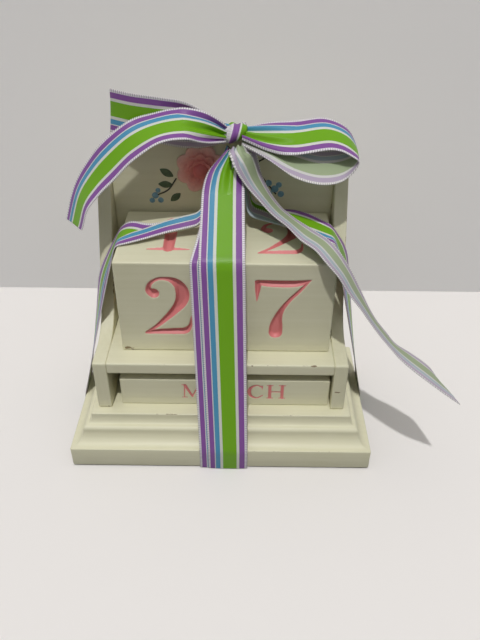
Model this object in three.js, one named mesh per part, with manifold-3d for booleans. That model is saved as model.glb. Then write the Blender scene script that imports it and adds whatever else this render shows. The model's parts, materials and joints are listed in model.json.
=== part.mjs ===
// Block calendar: a painted wooden stand with a tray for two date cubes and a slot for three month
// bars, tied with a striped ribbon and a bow. Millimetres, +Z up, the front faces -Y.
// The origin is on the surface it stands on, under the middle of the base.
import * as THREE from "three";
import { mergeVertices } from "three/addons/utils/BufferGeometryUtils.js";
import Module from "manifold-3d";

const wasm = await Module();
wasm.setup();

// Date cubes and the tray that they stand in
const cubeSide = 57;
const cubeGap = 0.8;
const cubeLeftRoom = 7.6;
const cubeRightRoom = 2.4;
const cubeSetback = 12;
const cubeBackRoom = 1.4;
const cubeChamfer = 0.9;

// Month bars in their slot
const barCount = 3;
const barSetback = 3.1;
const barGap = 0.8;
const barBackRoom = 8.7;
const barHeadroom = 6.4;
const barEndRoom = 3.2;
const barShifts = [2.2, 0.6, -1.4];

// Boards of the stand
const sideThickness = 7.6;
const shelfThickness = 7.2;
const backThickness = 7.2;
const shoulderRise = 83;
const crownRise = 21.7;
const sideSlope = THREE.MathUtils.degToRad(65);
const sideCoveRadius = 26;
const fitGap = 0.3;

// Moulded base
const baseThickness = 30.1;
const baseSideOverhang = 15.5;
const baseFrontOverhang = 17;
const baseBackLedge = 0.4;
const slabThickness = 13.4;
const slabEase = 0.8;
const coveStartInset = 1.1;
const noseInset = 7.1;
const noseHeight = 21.4;
const beadWidth = 2.6;
const beadRise = 2.4;
const topInset = 12.5;

// Screws from below and brads from the sides
const screwDiameter = 3.6;
const screwHeadDiameter = 6.2;
const screwHeadHeight = 2.2;
const screwSink = 0.5;
const screwLength = 42;
const screwEndRoom = 13;
const backScrewShare = 0.5;
const bradDiameter = 1.5;
const bradLength = 22;
const bradEndRoom = 14;
const bradDepthShares = [0.28, 0.76];
const backBradHeightShares = [0.24, 0.84];

// Ribbon
const ribbonWidth = 22;
const ribbonThickness = 0.6;
const bandThickness = 0.8;
const layerGap = 0.4;
const bandOffset = 2;
const innerBandShift = 4.6;
const bandDrift = 2.2;
const crossBandSetback = 28.5;
const crossBandSkew = 3;
const crossBandLeans = [5, 2];
const crossStartShift = 2.5;
const knotRadius = new THREE.Vector3(7.2, 6, 6.5);
const knotShift = 7.5;
const knotLift = -0.5;
const knotFootShares = new THREE.Vector3(-0.2, -0.7, -1);
const loopLeftReach = 66;
const loopRightReach = 64;
const tailLeftReach = 90.5;
const tailRightReach = 111;
const loopSteps = 26;
const tailSteps = 28;

// Carved blossom on the back board
const blossomDiameter = 28;
const blossomThickness = 3;
const blossomCoreDiameter = 13;
const blossomCoreHeight = 3.2;
const blossomCoreTopShare = 0.6;
const blossomShift = -12;
const blossomDrop = 22;
const petalCount = 8;
const petalDepth = 2.2;

const facets = 12;
const cutOverrun = 1;

// Places worked out from the sizes
const innerWidth = 2 * cubeSide + cubeGap + cubeLeftRoom + cubeRightRoom;
const boxWidth = innerWidth + 2 * sideThickness;
const baseWidth = boxWidth + 2 * baseSideOverhang;
const trayDepth = cubeSetback + cubeSide + cubeBackRoom;
const barLength = innerWidth - 2 * barEndRoom;
const barSide = (trayDepth - barSetback - barBackRoom - (barCount - 1) * barGap) / barCount;
const slotHeight = barSide + barHeadroom;
const baseDepth = baseFrontOverhang + trayDepth + backThickness + baseBackLedge;
const baseFront = -baseDepth / 2;
const baseBack = baseDepth / 2;
const shelfFront = baseFront + baseFrontOverhang;
const backFront = shelfFront + trayDepth;
const backRear = backFront + backThickness;
const baseBottom = ribbonThickness;
const baseTop = baseBottom + baseThickness;
const slotTop = baseTop + slotHeight;
const shelfTop = slotTop + shelfThickness;
const shoulderTop = shelfTop + shoulderRise;
const crownTop = shoulderTop + crownRise;
const cubeFront = shelfFront + cubeSetback;
const cubeTop = shelfTop + cubeSide;
const cubeLeft = -innerWidth / 2 + cubeLeftRoom;
const cubeRight = innerWidth / 2 - cubeRightRoom;
const knotCentre = new THREE.Vector3(
  knotShift,
  backFront - fitGap - knotRadius.y,
  crownTop + knotLift,
);

const calendar = new THREE.Group();

const paint = new THREE.MeshStandardMaterial({ color: 0xd9d4bb, roughness: 0.55, metalness: 0 });
const blossomPaint = new THREE.MeshStandardMaterial({ color: 0xdd8f86, roughness: 0.6, metalness: 0 });
const steel = new THREE.MeshStandardMaterial({ color: 0x9a958c, roughness: 0.4, metalness: 1 });
const satin = new THREE.MeshStandardMaterial({ color: 0x79a03c, roughness: 0.45, metalness: 0 });

function addPart(name, geometry, material) {
  const part = new THREE.Mesh(geometry, material.clone());
  part.name = name;
  calendar.add(part);
  return part;
}

// Boolean work on closed geometries
function toSolid(geometry) {
  const bare = geometry.clone();
  bare.deleteAttribute("normal");
  bare.deleteAttribute("uv");
  const merged = mergeVertices(bare);
  return new wasm.Manifold(new wasm.Mesh({
    numProp: 3,
    vertProperties: new Float32Array(merged.attributes.position.array),
    triVerts: new Uint32Array(merged.index.array),
  }));
}

function toGeometry(solid) {
  const mesh = solid.getMesh();
  const geometry = new THREE.BufferGeometry();
  geometry.setAttribute("position", new THREE.BufferAttribute(mesh.vertProperties, 3));
  geometry.setIndex(new THREE.BufferAttribute(mesh.triVerts, 1));
  geometry.computeVertexNormals();
  return geometry;
}

function cutAll(geometry, cutters) {
  let solid = toSolid(geometry);
  for (const cutter of cutters) {
    solid = solid.subtract(toSolid(cutter));
  }
  return toGeometry(solid);
}

function boxBetween(low, high) {
  const geometry = new THREE.BoxGeometry(high[0] - low[0], high[1] - low[1], high[2] - low[2]);
  return geometry.translate((high[0] + low[0]) / 2, (high[1] + low[1]) / 2, (high[2] + low[2]) / 2);
}

// Closed skin over a list of rings with equal counts of points, capped at both ends. The squares of one
// side can be split along their other diagonal, so that the two faces of a twisted strip stay parallel.
function skinRings(rings, turnedSide = -1) {
  const count = rings[0].length;
  const points = rings.flat();
  const index = [];
  for (let r = 0; r + 1 < rings.length; r += 1) {
    for (let c = 0; c < count; c += 1) {
      const a = r * count + c;
      const b = r * count + ((c + 1) % count);
      if (c === turnedSide) {
        index.push(a, b, a + count, b, b + count, a + count);
      } else {
        index.push(a, b, b + count, a, b + count, a + count);
      }
    }
  }
  const last = (rings.length - 1) * count;
  for (let c = 1; c + 1 < count; c += 1) {
    index.push(0, c + 1, c);
    index.push(last, last + c, last + c + 1);
  }
  const geometry = new THREE.BufferGeometry().setFromPoints(points);
  geometry.setIndex(index);
  geometry.computeVertexNormals();
  return geometry;
}

// Screws stand upright with the head down, brads lie along X with the head outwards
const sideMiddle = boxWidth / 2 - sideThickness / 2;
const backMiddle = (backFront + backRear) / 2;
const screwSpots = {
  left_front: [-sideMiddle, shelfFront + screwEndRoom],
  left_rear: [-sideMiddle, backFront - screwEndRoom],
  right_front: [sideMiddle, shelfFront + screwEndRoom],
  right_rear: [sideMiddle, backFront - screwEndRoom],
  back_left: [-innerWidth / 2 * backScrewShare, backMiddle],
  back_right: [innerWidth / 2 * backScrewShare, backMiddle],
};

function screwGeometry(spot, room) {
  const shankRadius = screwDiameter / 2 + room;
  const headRadius = screwHeadDiameter / 2 + room;
  const headBottom = baseBottom + screwSink;
  const tip = headBottom + screwLength + room;
  const points = [
    new THREE.Vector2(0, headBottom),
    new THREE.Vector2(headRadius, headBottom),
    new THREE.Vector2(shankRadius, headBottom + screwHeadHeight),
    new THREE.Vector2(shankRadius, tip - screwDiameter),
    new THREE.Vector2(0, tip),
  ];
  if (room > 0) {
    points[0].y = baseBottom - cutOverrun;
    points.splice(1, 0, new THREE.Vector2(headRadius, baseBottom - cutOverrun));
  }
  const geometry = new THREE.LatheGeometry(points, facets);
  return geometry.rotateX(Math.PI / 2).translate(spot[0], spot[1], 0);
}

const shelfBradHeight = shelfTop - shelfThickness / 2;
const bradSpots = {};
for (const [place, share] of [["front", bradDepthShares[0]], ["rear", bradDepthShares[1]]]) {
  bradSpots[`shelf_${place}`] = [shelfFront + trayDepth * share, shelfBradHeight];
}
for (const [place, share] of [["low", backBradHeightShares[0]], ["high", backBradHeightShares[1]]]) {
  bradSpots[`back_${place}`] = [backMiddle, shelfTop + shoulderRise * share];
}

function bradGeometry(spot, side, room) {
  const radius = bradDiameter / 2 + room;
  const outside = boxWidth / 2 + (room > 0 ? cutOverrun : 0);
  const inside = boxWidth / 2 - bradLength - room;
  const geometry = new THREE.CylinderGeometry(radius, radius, outside - inside, facets / 2);
  geometry.rotateZ(Math.PI / 2);
  return geometry.translate(side * (outside + inside) / 2, spot[0], spot[1]);
}

// Base: a rectangle whose front and side edges step in as the moulding rises
function addBase() {
  const outline = [[slabEase, 0], [0, slabEase], [0, slabThickness - slabEase / 2]];
  const coveSteps = 6;
  for (let i = 0; i <= coveSteps; i += 1) {
    const turn = (i / coveSteps) * (Math.PI / 2);
    outline.push([
      coveStartInset + (noseInset - coveStartInset) * Math.sin(turn),
      noseHeight - (noseHeight - slabThickness) * Math.cos(turn),
    ]);
  }
  const beadSteps = 4;
  for (let i = 1; i <= beadSteps; i += 1) {
    const turn = (i / beadSteps) * (Math.PI / 2);
    outline.push([noseInset + beadWidth * (1 - Math.cos(turn)), noseHeight + beadRise * Math.sin(turn)]);
  }
  const beadInset = noseInset + beadWidth;
  const beadTop = noseHeight + beadRise;
  for (let i = 1; i <= coveSteps; i += 1) {
    const turn = (i / coveSteps) * (Math.PI / 2);
    outline.push([
      beadInset + (topInset - beadInset) * Math.sin(turn),
      baseThickness - (baseThickness - beadTop) * Math.cos(turn),
    ]);
  }
  const rings = outline.map(([inset, height]) => {
    const halfWidth = baseWidth / 2 - inset;
    const front = baseFront + inset;
    const z = baseBottom + height;
    return [
      new THREE.Vector3(-halfWidth, front, z),
      new THREE.Vector3(halfWidth, front, z),
      new THREE.Vector3(halfWidth, baseBack, z),
      new THREE.Vector3(-halfWidth, baseBack, z),
    ];
  });
  const cutters = Object.values(screwSpots).map((spot) => screwGeometry(spot, fitGap));
  addPart("base_plinth", cutAll(skinRings(rings), cutters), paint);
}

// Side panels: level with the shelf at the front, then a cove and a straight slope up to the shoulder
function sideOutline() {
  const slopeFoot = backFront - shoulderRise / Math.tan(sideSlope);
  const coveRun = sideCoveRadius * Math.tan(sideSlope / 2);
  const shape = new THREE.Shape();
  shape.moveTo(shelfFront, baseTop);
  shape.lineTo(backRear, baseTop);
  shape.lineTo(backRear, shoulderTop);
  shape.lineTo(backFront, shoulderTop);
  shape.lineTo(slopeFoot + coveRun * Math.cos(sideSlope), shelfTop + coveRun * Math.sin(sideSlope));
  shape.absarc(
    slopeFoot - coveRun,
    shelfTop + sideCoveRadius,
    sideCoveRadius,
    sideSlope - Math.PI / 2,
    -Math.PI / 2,
    true,
  );
  shape.lineTo(shelfFront, shelfTop);
  shape.closePath();
  return shape;
}

function addSidePanels() {
  for (const [name, side] of [["left", -1], ["right", 1]]) {
    const geometry = new THREE.ExtrudeGeometry(sideOutline(), {
      depth: sideThickness,
      bevelEnabled: false,
      curveSegments: 8,
    });
    geometry.applyMatrix4(new THREE.Matrix4().makeBasis(
      new THREE.Vector3(0, 1, 0),
      new THREE.Vector3(0, 0, 1),
      new THREE.Vector3(1, 0, 0),
    ));
    geometry.translate(side < 0 ? -boxWidth / 2 : boxWidth / 2 - sideThickness, 0, 0);
    const cutters = [
      screwGeometry(screwSpots[`${name}_front`], fitGap),
      screwGeometry(screwSpots[`${name}_rear`], fitGap),
      ...Object.values(bradSpots).map((spot) => bradGeometry(spot, side, fitGap)),
    ];
    addPart(`side_panel_${name}`, cutAll(geometry, cutters), paint);
  }
}

function addShelf() {
  const board = boxBetween(
    [-innerWidth / 2, shelfFront, slotTop],
    [innerWidth / 2, backFront, shelfTop],
  );
  const cutters = [];
  for (const side of [-1, 1]) {
    cutters.push(bradGeometry(bradSpots.shelf_front, side, fitGap));
    cutters.push(bradGeometry(bradSpots.shelf_rear, side, fitGap));
  }
  addPart("shelf_board", cutAll(board, cutters), paint);
}

// Back board: its top is one arc from shoulder to shoulder
function crownHeightAt(x) {
  const halfChord = innerWidth / 2;
  const radius = (halfChord ** 2 + crownRise ** 2) / (2 * crownRise);
  return crownTop - radius + Math.sqrt(radius ** 2 - x ** 2);
}

function addBackBoard() {
  const shape = new THREE.Shape();
  shape.moveTo(-innerWidth / 2, baseTop);
  shape.lineTo(innerWidth / 2, baseTop);
  const steps = 20;
  for (let i = 0; i <= steps; i += 1) {
    const x = innerWidth / 2 - (innerWidth * i) / steps;
    shape.lineTo(x, crownHeightAt(x));
  }
  shape.closePath();
  const board = new THREE.ExtrudeGeometry(shape, { depth: backThickness, bevelEnabled: false });
  board.rotateX(Math.PI / 2).translate(0, backRear, 0);
  const cutters = [
    screwGeometry(screwSpots.back_left, fitGap),
    screwGeometry(screwSpots.back_right, fitGap),
  ];
  for (const side of [-1, 1]) {
    cutters.push(bradGeometry(bradSpots.back_low, side, fitGap));
    cutters.push(bradGeometry(bradSpots.back_high, side, fitGap));
  }
  addPart("back_board", cutAll(board, cutters), paint);
}

function addFasteners() {
  for (const [name, spot] of Object.entries(screwSpots)) {
    addPart(`screw_${name}`, screwGeometry(spot, 0), steel);
  }
  for (const [side, sign] of [["left", -1], ["right", 1]]) {
    for (const [name, spot] of Object.entries(bradSpots)) {
      addPart(`brad_${name}_${side}`, bradGeometry(spot, sign, 0), steel);
    }
  }
}

// A block with all its edges chamfered, from a stack of rings
function chamferedBlock(low, high, chamfer) {
  const ring = (inset, z) => {
    const [x0, x1] = [low[0] + inset, high[0] - inset];
    const [y0, y1] = [low[1] + inset, high[1] - inset];
    const corner = chamfer - inset;
    return [
      new THREE.Vector3(x0 + corner, y0, z),
      new THREE.Vector3(x1 - corner, y0, z),
      new THREE.Vector3(x1, y0 + corner, z),
      new THREE.Vector3(x1, y1 - corner, z),
      new THREE.Vector3(x1 - corner, y1, z),
      new THREE.Vector3(x0 + corner, y1, z),
      new THREE.Vector3(x0, y1 - corner, z),
      new THREE.Vector3(x0, y0 + corner, z),
    ];
  };
  const flatShare = 0.98;
  return skinRings([
    ring(chamfer * flatShare, low[2]),
    ring(0, low[2] + chamfer),
    ring(0, high[2] - chamfer),
    ring(chamfer * flatShare, high[2]),
  ]);
}

function addDateCubes() {
  const places = [["left", cubeLeft], ["right", cubeRight - cubeSide]];
  for (const [name, x] of places) {
    const low = [x, cubeFront, shelfTop];
    const high = [x + cubeSide, cubeFront + cubeSide, cubeTop];
    addPart(`date_cube_${name}`, chamferedBlock(low, high, cubeChamfer), paint);
  }
}

function addMonthBars() {
  ["front", "middle", "rear"].forEach((name, i) => {
    const x = barShifts[i] - barLength / 2;
    const y = shelfFront + barSetback + i * (barSide + barGap);
    const low = [x, y, baseTop];
    const high = [x + barLength, y + barSide, baseTop + barSide];
    addPart(`month_bar_${name}`, chamferedBlock(low, high, cubeChamfer), paint);
  });
}

function addBlossom() {
  const petals = new THREE.Shape();
  const steps = petalCount * 6;
  for (let i = 0; i < steps; i += 1) {
    const turn = (i / steps) * 2 * Math.PI;
    const wave = Math.abs(Math.sin((petalCount * turn) / 2));
    const radius = blossomDiameter / 2 - petalDepth * (1 - wave);
    petals[i === 0 ? "moveTo" : "lineTo"](radius * Math.cos(turn), radius * Math.sin(turn));
  }
  petals.closePath();
  const disc = new THREE.ExtrudeGeometry(petals, { depth: blossomThickness, bevelEnabled: false });
  const coreRadius = blossomCoreDiameter / 2;
  const coreTopRadius = coreRadius * blossomCoreTopShare;
  const coreHeight = blossomCoreHeight + cutOverrun;
  const core = new THREE.CylinderGeometry(coreTopRadius, coreRadius, coreHeight, facets);
  core.rotateX(Math.PI / 2).translate(0, 0, blossomThickness + (blossomCoreHeight - cutOverrun) / 2);
  const geometry = toGeometry(toSolid(disc).add(toSolid(core)));
  geometry.rotateX(Math.PI / 2).translate(blossomShift, backFront, crownTop - blossomDrop);
  addPart("blossom_applique", geometry, blossomPaint);
}

// Ribbon pieces: a station is a middle point, the direction across the ribbon and a share of its width.
// The strip runs through the stations, smoothed or straight between them, with square edges.
function ribbonStrip(name, stations, steps = 0) {
  let line = stations.map((s) => ({
    middle: new THREE.Vector3(...s.middle),
    across: new THREE.Vector3(...s.across).normalize(),
    widthShare: s.widthShare ?? 1,
  }));
  if (steps > 0) {
    const curve = new THREE.CatmullRomCurve3(line.map((s) => s.middle), false, "centripetal");
    const rounded = [];
    for (let i = 0; i <= steps; i += 1) {
      const place = (i / steps) * (line.length - 1);
      const k = Math.min(Math.floor(place), line.length - 2);
      const rest = place - k;
      rounded.push({
        middle: curve.getPoint(i / steps),
        across: line[k].across.clone().lerp(line[k + 1].across, rest).normalize(),
        widthShare: THREE.MathUtils.lerp(line[k].widthShare, line[k + 1].widthShare, rest),
      });
    }
    line = rounded;
  }
  const rings = line.map((s, i) => {
    const before = line[Math.max(i - 1, 0)].middle;
    const after = line[Math.min(i + 1, line.length - 1)].middle;
    const along = after.clone().sub(before).normalize();
    const normal = along.clone().cross(s.across).normalize();
    const half = s.across.clone().multiplyScalar((ribbonWidth / 2) * s.widthShare);
    const up = normal.multiplyScalar(bandThickness / 2);
    return [
      s.middle.clone().sub(half).sub(up),
      s.middle.clone().add(half).sub(up),
      s.middle.clone().add(half).add(up),
      s.middle.clone().sub(half).add(up),
    ];
  });
  const bottomFace = 0;
  addPart(name, skinRings(rings, bottomFace), satin);
}

// A station given by the two edges of the ribbon
function edgeStation(near, far) {
  const across = far.map((value, i) => value - near[i]);
  return {
    middle: near.map((value, i) => value + across[i] / 2),
    across,
    widthShare: Math.hypot(...across) / ribbonWidth,
  };
}

// A point of a run from a to b, as one share for each of x, y and z
function alongRun(a, b, shares) {
  return a.map((value, i) => value + (b[i] - value) * shares[i]);
}

// Bands tied round the stand. Each lies fitGap clear of what it passes, with its middle half a
// thickness further out.
const bandClear = fitGap + bandThickness / 2;
const slabTop = baseBottom + slabThickness;

function addFrontBands() {
  const across = [1, 0, 0];
  const layer = bandThickness + layerGap;
  const gatherRate = 4;
  const foot = knotCentre.clone().add(knotRadius.clone().multiply(knotFootShares));
  const route = (x, lift, spread) => {
    const overCube = [x, cubeFront - bandClear - lift, cubeTop + bandClear + lift];
    const head = [foot.x, foot.y - lift, foot.z + lift - layer];
    return [
      ...spread.map(([share, widthShare]) => ({
        middle: alongRun(head, overCube, [Math.min(share * gatherRate, 1), share, share]),
        across,
        widthShare,
      })),
      { middle: overCube, across },
      { middle: [x + bandDrift, baseFront - bandClear - lift, slabTop], across },
      { middle: [x + bandDrift, baseFront - bandClear - lift, ribbonThickness / 2], across },
    ];
  };
  const outerSpreadShares = [[0, 0.36], [0.1, 0.66], [0.2, 0.86], [0.36, 0.96]];
  const innerSpreadShares = [[0.12, 0.5], [0.3, 0.8], [0.5, 0.95]];
  ribbonStrip("ribbon_front_outer", route(bandOffset, layer, outerSpreadShares));
  ribbonStrip("ribbon_front_inner", route(bandOffset - innerBandShift, 0, innerSpreadShares));
}

// Height of a side panel's sloping edge
function slopeHeightAt(y) {
  return shoulderTop - (backFront - y) * Math.tan(sideSlope);
}

// The cross band runs from under the knot over the cubes, down past the side panel and over the slab.
// Its far edge rides over the slope of the panel, its near edge passes in front of it. The lean is how
// far forward the far edge is pulled there.
function addCrossBand(name, side, cubeEdge, near, lean, dropShares) {
  const far = near + ribbonWidth;
  const middle = (near + far) / 2;
  const start = [
    knotCentre.x + side * crossStartShift,
    knotCentre.y - fitGap,
    knotCentre.z - knotRadius.z - bandClear,
  ];
  const corner = [cubeEdge + side * bandClear, middle, cubeTop + bandClear];
  const stations = dropShares.map(([x, y, z, ax, ay, az, widthShare]) => ({
    middle: alongRun(start, corner, [x, y, z]),
    across: [side * ax, ay, az],
    widthShare,
  }));
  stations.push({ middle: corner, across: [0, 1, 0] });
  const slabEdge = side * (baseWidth / 2 + bandClear);
  const panelEdge = side * (boxWidth / 2 + bandClear);
  const lineXAt = (z) => corner[0] + ((slabEdge - corner[0]) * (corner[2] - z)) / (corner[2] - slabTop);
  const overSlope = slopeHeightAt(far - lean) + 2 * bandClear;
  stations.push(edgeStation([lineXAt(overSlope), near, overSlope], [panelEdge, far - lean, overSlope]));
  const overCove = shelfTop + bandClear + sideCoveRadius * (1 - Math.cos(sideSlope / 2));
  const farXAt = (z) => panelEdge + ((slabEdge - panelEdge) * (overSlope - z)) / (overSlope - slabTop);
  const nearX = side * Math.max(Math.abs(lineXAt(overCove)), Math.abs(panelEdge));
  stations.push(edgeStation([nearX, near, overCove], [farXAt(overCove), far - lean / 2, overCove]));
  stations.push({ middle: [slabEdge, middle, slabTop], across: [0, 1, 0] });
  stations.push({ middle: [slabEdge, middle, ribbonThickness / 2], across: [0, 1, 0] });
  ribbonStrip(name, stations);
}

const crossLeftNear = shelfFront + crossBandSetback;
const crossRightNear = crossLeftNear + crossBandSkew;

function addCrossBands() {
  // x, y and z shares of the run from the knot to the cube's edge, direction across, width share
  const leftDropShares = [
    [0, 0, 0, 0.3, 1, 0, 0.35],
    [0.05, 0.17, 0.25, 0.3, 0.9, 0.2, 0.55],
    [0.12, 0.42, 0.6, 0.2, 0.95, 0, 0.8],
    [0.27, 0.7, 0.85, 0.04, 0.98, -0.2, 1],
    [0.44, 0.83, 0.885, 0.04, 0.98, -0.18, 1],
    [0.61, 0.92, 0.92, 0.04, 0.99, -0.14, 1],
    [0.78, 0.96, 0.965, 0.07, 0.99, -0.08, 1],
  ];
  const rightDropShares = [
    [0, 0, 0, 0.3, 1, 0, 0.35],
    [0.04, 0.17, 0.31, 0.3, 0.9, 0.3, 0.55],
    [0.09, 0.31, 0.68, 0.2, 0.9, 0.4, 0.75],
    [0.28, 0.4, 0.87, 0.3, 0.9, 0.2, 0.9],
    [0.56, 0.6, 0.965, 0.3, 0.95, 0.05, 1],
    [0.8, 0.83, 0.99, 0.2, 1, 0, 1],
  ];
  const [leftLean, rightLean] = crossBandLeans;
  addCrossBand("ribbon_cross_left", -1, cubeLeft, crossLeftNear, leftLean, leftDropShares);
  addCrossBand("ribbon_cross_right", 1, cubeRight, crossRightNear, rightLean, rightDropShares);
}

function addBackBand() {
  const across = [1, 0, 0];
  const overCrown = crownTop + bandClear;
  const behind = baseBack + bandClear;
  const [headShare, crownShare] = [0.5, 0.9];
  ribbonStrip("ribbon_back_band", [
    { middle: [knotCentre.x, backFront + bandClear, overCrown], across, widthShare: headShare },
    { middle: [bandOffset, behind, overCrown], across, widthShare: crownShare },
    { middle: [bandOffset, behind, shoulderTop], across },
    { middle: [bandOffset, behind, ribbonThickness / 2], across },
  ]);
}

// Flat lengths that the base stands on
function addUnderBands() {
  const left = bandOffset + bandDrift - innerBandShift - ribbonWidth / 2;
  const right = bandOffset + bandDrift + ribbonWidth / 2;
  const lengths = {
    ribbon_under_length: [[left, baseFront, 0], [right, baseBack, ribbonThickness]],
    ribbon_under_left: [
      [-baseWidth / 2, crossLeftNear, 0],
      [left - fitGap, crossLeftNear + ribbonWidth, ribbonThickness],
    ],
    ribbon_under_right: [
      [right + fitGap, crossRightNear, 0],
      [baseWidth / 2, crossRightNear + ribbonWidth, ribbonThickness],
    ],
  };
  for (const [name, [low, high]] of Object.entries(lengths)) {
    addPart(name, boxBetween(low, high), satin);
  }
}

// Bow: places are shares of a loop's or tail's reach from the middle of the knot, each with the
// direction across the ribbon and a share of its width
function bowPiece(name, reach, shares, steps) {
  ribbonStrip(name, shares.map(([x, y, z, ax, ay, az, widthShare]) => ({
    middle: [knotCentre.x + x * reach, knotCentre.y + y * reach, knotCentre.z + z * reach],
    across: [ax, ay, az],
    widthShare,
  })), steps);
}

function addBow() {
  const knot = new THREE.SphereGeometry(1, facets, facets);
  knot.scale(knotRadius.x, knotRadius.y, knotRadius.z);
  knot.translate(knotCentre.x, knotCentre.y, knotCentre.z);
  addPart("ribbon_knot", knot, satin);

  const loopLeftShares = [
    [-0.11, -0.03, 0.02, 0, 0.1, 1, 0.4],
    [-0.25, -0.025, 0.045, -0.1, 0.15, 1, 0.75],
    [-0.42, -0.035, 0.075, 0.1, 0.1, 1, 1],
    [-0.61, -0.045, 0.12, 0.1, 0, 1, 1],
    [-0.81, -0.045, 0.16, 0.1, 0, 1, 1],
    [-0.98, 0.01, 0.18, 0.1, 0, 1, 1],
    [-0.84, 0.065, 0.15, 0.1, 0, 1, 1],
    [-0.61, 0.072, 0.106, 0.1, 0, 1, 1],
    [-0.39, 0.06, 0.06, 0.1, 0, 1, 1],
    [-0.22, 0.045, 0.03, 0.1, 0, 1, 0.7],
    [-0.11, 0.035, 0.015, 0, 0, 1, 0.4],
  ];
  bowPiece("ribbon_loop_left", loopLeftReach, loopLeftShares, loopSteps);

  const loopRightShares = [
    [0.113, -0.03, 0.03, 0, 0.9, 0.4, 0.4],
    [0.27, -0.07, 0.02, -0.1, 0.8, 0.55, 0.8],
    [0.48, -0.09, 0.02, 0.1, 0.85, 0.52, 1],
    [0.76, -0.1, 0.055, -0.1, 0.9, 0.43, 1],
    [0.92, -0.125, -0.005, 0, 0.95, 0.3, 1],
    [0.99, -0.15, -0.11, 0.05, 0.98, -0.05, 1],
    [0.9, -0.2, -0.22, 0.1, 0.97, -0.12, 1],
    [0.695, -0.235, -0.265, 0, 0.97, -0.17, 1],
    [0.476, -0.18, -0.22, 0.05, 0.95, -0.15, 1],
    [0.27, -0.1, -0.125, 0.05, 0.95, -0.1, 0.7],
    [0.112, -0.042, -0.06, 0, 0.95, -0.1, 0.4],
  ];
  bowPiece("ribbon_loop_right", loopRightReach, loopRightShares, loopSteps);

  const tailLeftShares = [
    [-0.059, -0.053, 0.024, 0.1, 0.3, 0.95, 0.35],
    [-0.13, -0.1, 0.06, 0, 0.5, 0.85, 0.6],
    [-0.215, -0.145, 0.1, -0.15, 0.75, 0.6, 0.85],
    [-0.3, -0.19, 0.13, -0.25, 0.88, 0.4, 1],
    [-0.432, -0.24, 0.121, -0.26, 0.9, 0.35, 1],
    [-0.565, -0.273, 0.064, -0.2, 0.78, 0.6, 1],
    [-0.7, -0.296, -0.046, -0.32, 0.72, 0.62, 1],
    [-0.79, -0.307, -0.139, -0.33, 0.78, 0.52, 1],
    [-0.867, -0.323, -0.247, -0.45, 0.86, 0.24, 1],
    [-0.925, -0.34, -0.392, -0.6, 0.76, -0.25, 1],
  ];
  bowPiece("ribbon_tail_left", tailLeftReach, tailLeftShares, tailSteps);

  const tailRightShares = [
    [0.012, -0.062, -0.03, 0.9, 0.3, 0.2, 0.35],
    [0.022, -0.12, -0.05, 0.6, 0.74, -0.2, 0.75],
    [0.043, -0.168, -0.069, 0.6, 0.74, -0.26, 1],
    [0.094, -0.267, -0.127, 0.58, 0.7, -0.41, 1],
    [0.165, -0.357, -0.184, 0.55, 0.69, -0.46, 1],
    [0.272, -0.438, -0.259, 0.54, 0.69, -0.49, 1],
    [0.4, -0.535, -0.35, 0.55, 0.61, -0.57, 1],
    [0.507, -0.573, -0.455, 0.52, 0.63, -0.57, 1],
    [0.581, -0.591, -0.566, 0.45, 0.7, -0.56, 1],
    [0.686, -0.605, -0.719, 0.45, 0.64, -0.62, 1],
    [0.808, -0.645, -0.822, 0.45, 0.75, -0.48, 1],
    [0.922, -0.681, -0.893, 0.24, 0.93, -0.29, 1],
    [1.03, -0.717, -0.979, -0.14, 0.96, -0.22, 1],
  ];
  bowPiece("ribbon_tail_right", tailRightReach, tailRightShares, tailSteps);
}

addBase();
addSidePanels();
addShelf();
addBackBoard();
addFasteners();
addDateCubes();
addMonthBars();
addBlossom();
addFrontBands();
addCrossBands();
addBackBand();
addUnderBands();
addBow();

export default calendar;
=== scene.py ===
# Painted block calendar tied up with a striped ribbon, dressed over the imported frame
import json
import math

import bpy
import numpy as np
from mathutils import Matrix, Vector
from mathutils.geometry import tessellate_polygon

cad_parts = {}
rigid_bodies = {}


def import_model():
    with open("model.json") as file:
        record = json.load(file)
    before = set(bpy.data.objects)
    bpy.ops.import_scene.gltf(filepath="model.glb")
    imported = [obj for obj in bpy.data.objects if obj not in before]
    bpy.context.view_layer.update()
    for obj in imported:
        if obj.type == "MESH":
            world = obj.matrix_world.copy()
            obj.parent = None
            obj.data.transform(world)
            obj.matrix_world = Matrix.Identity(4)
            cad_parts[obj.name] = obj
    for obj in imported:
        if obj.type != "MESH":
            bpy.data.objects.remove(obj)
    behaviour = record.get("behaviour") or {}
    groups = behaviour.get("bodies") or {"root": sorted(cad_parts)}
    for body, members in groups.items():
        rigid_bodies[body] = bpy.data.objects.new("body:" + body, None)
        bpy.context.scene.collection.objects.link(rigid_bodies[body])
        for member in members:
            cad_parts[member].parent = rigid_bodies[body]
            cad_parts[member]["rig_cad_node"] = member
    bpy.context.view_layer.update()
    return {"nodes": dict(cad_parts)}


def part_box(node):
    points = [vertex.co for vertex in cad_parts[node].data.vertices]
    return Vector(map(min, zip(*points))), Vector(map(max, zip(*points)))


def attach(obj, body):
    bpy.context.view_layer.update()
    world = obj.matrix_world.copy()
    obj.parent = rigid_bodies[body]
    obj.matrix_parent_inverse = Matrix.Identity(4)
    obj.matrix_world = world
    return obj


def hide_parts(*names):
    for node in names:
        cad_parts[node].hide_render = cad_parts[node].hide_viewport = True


for leftover in list(bpy.data.objects):
    bpy.data.objects.remove(leftover)
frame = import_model()
mm = 0.001  # shapes are worked out in millimetres and put into the mesh in metres


def linear(hexColour):
    # sRGB hex to linear: c / 12.92 in the toe, ((c + 0.055) / 1.055) ^ 2.4 above it
    parts = [int(hexColour[i:i + 2], 16) / 255 for i in (1, 3, 5)]
    return [c / 12.92 if c <= 0.04045 else ((c + 0.055) / 1.055) ** 2.4 for c in parts] + [1.0]


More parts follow.
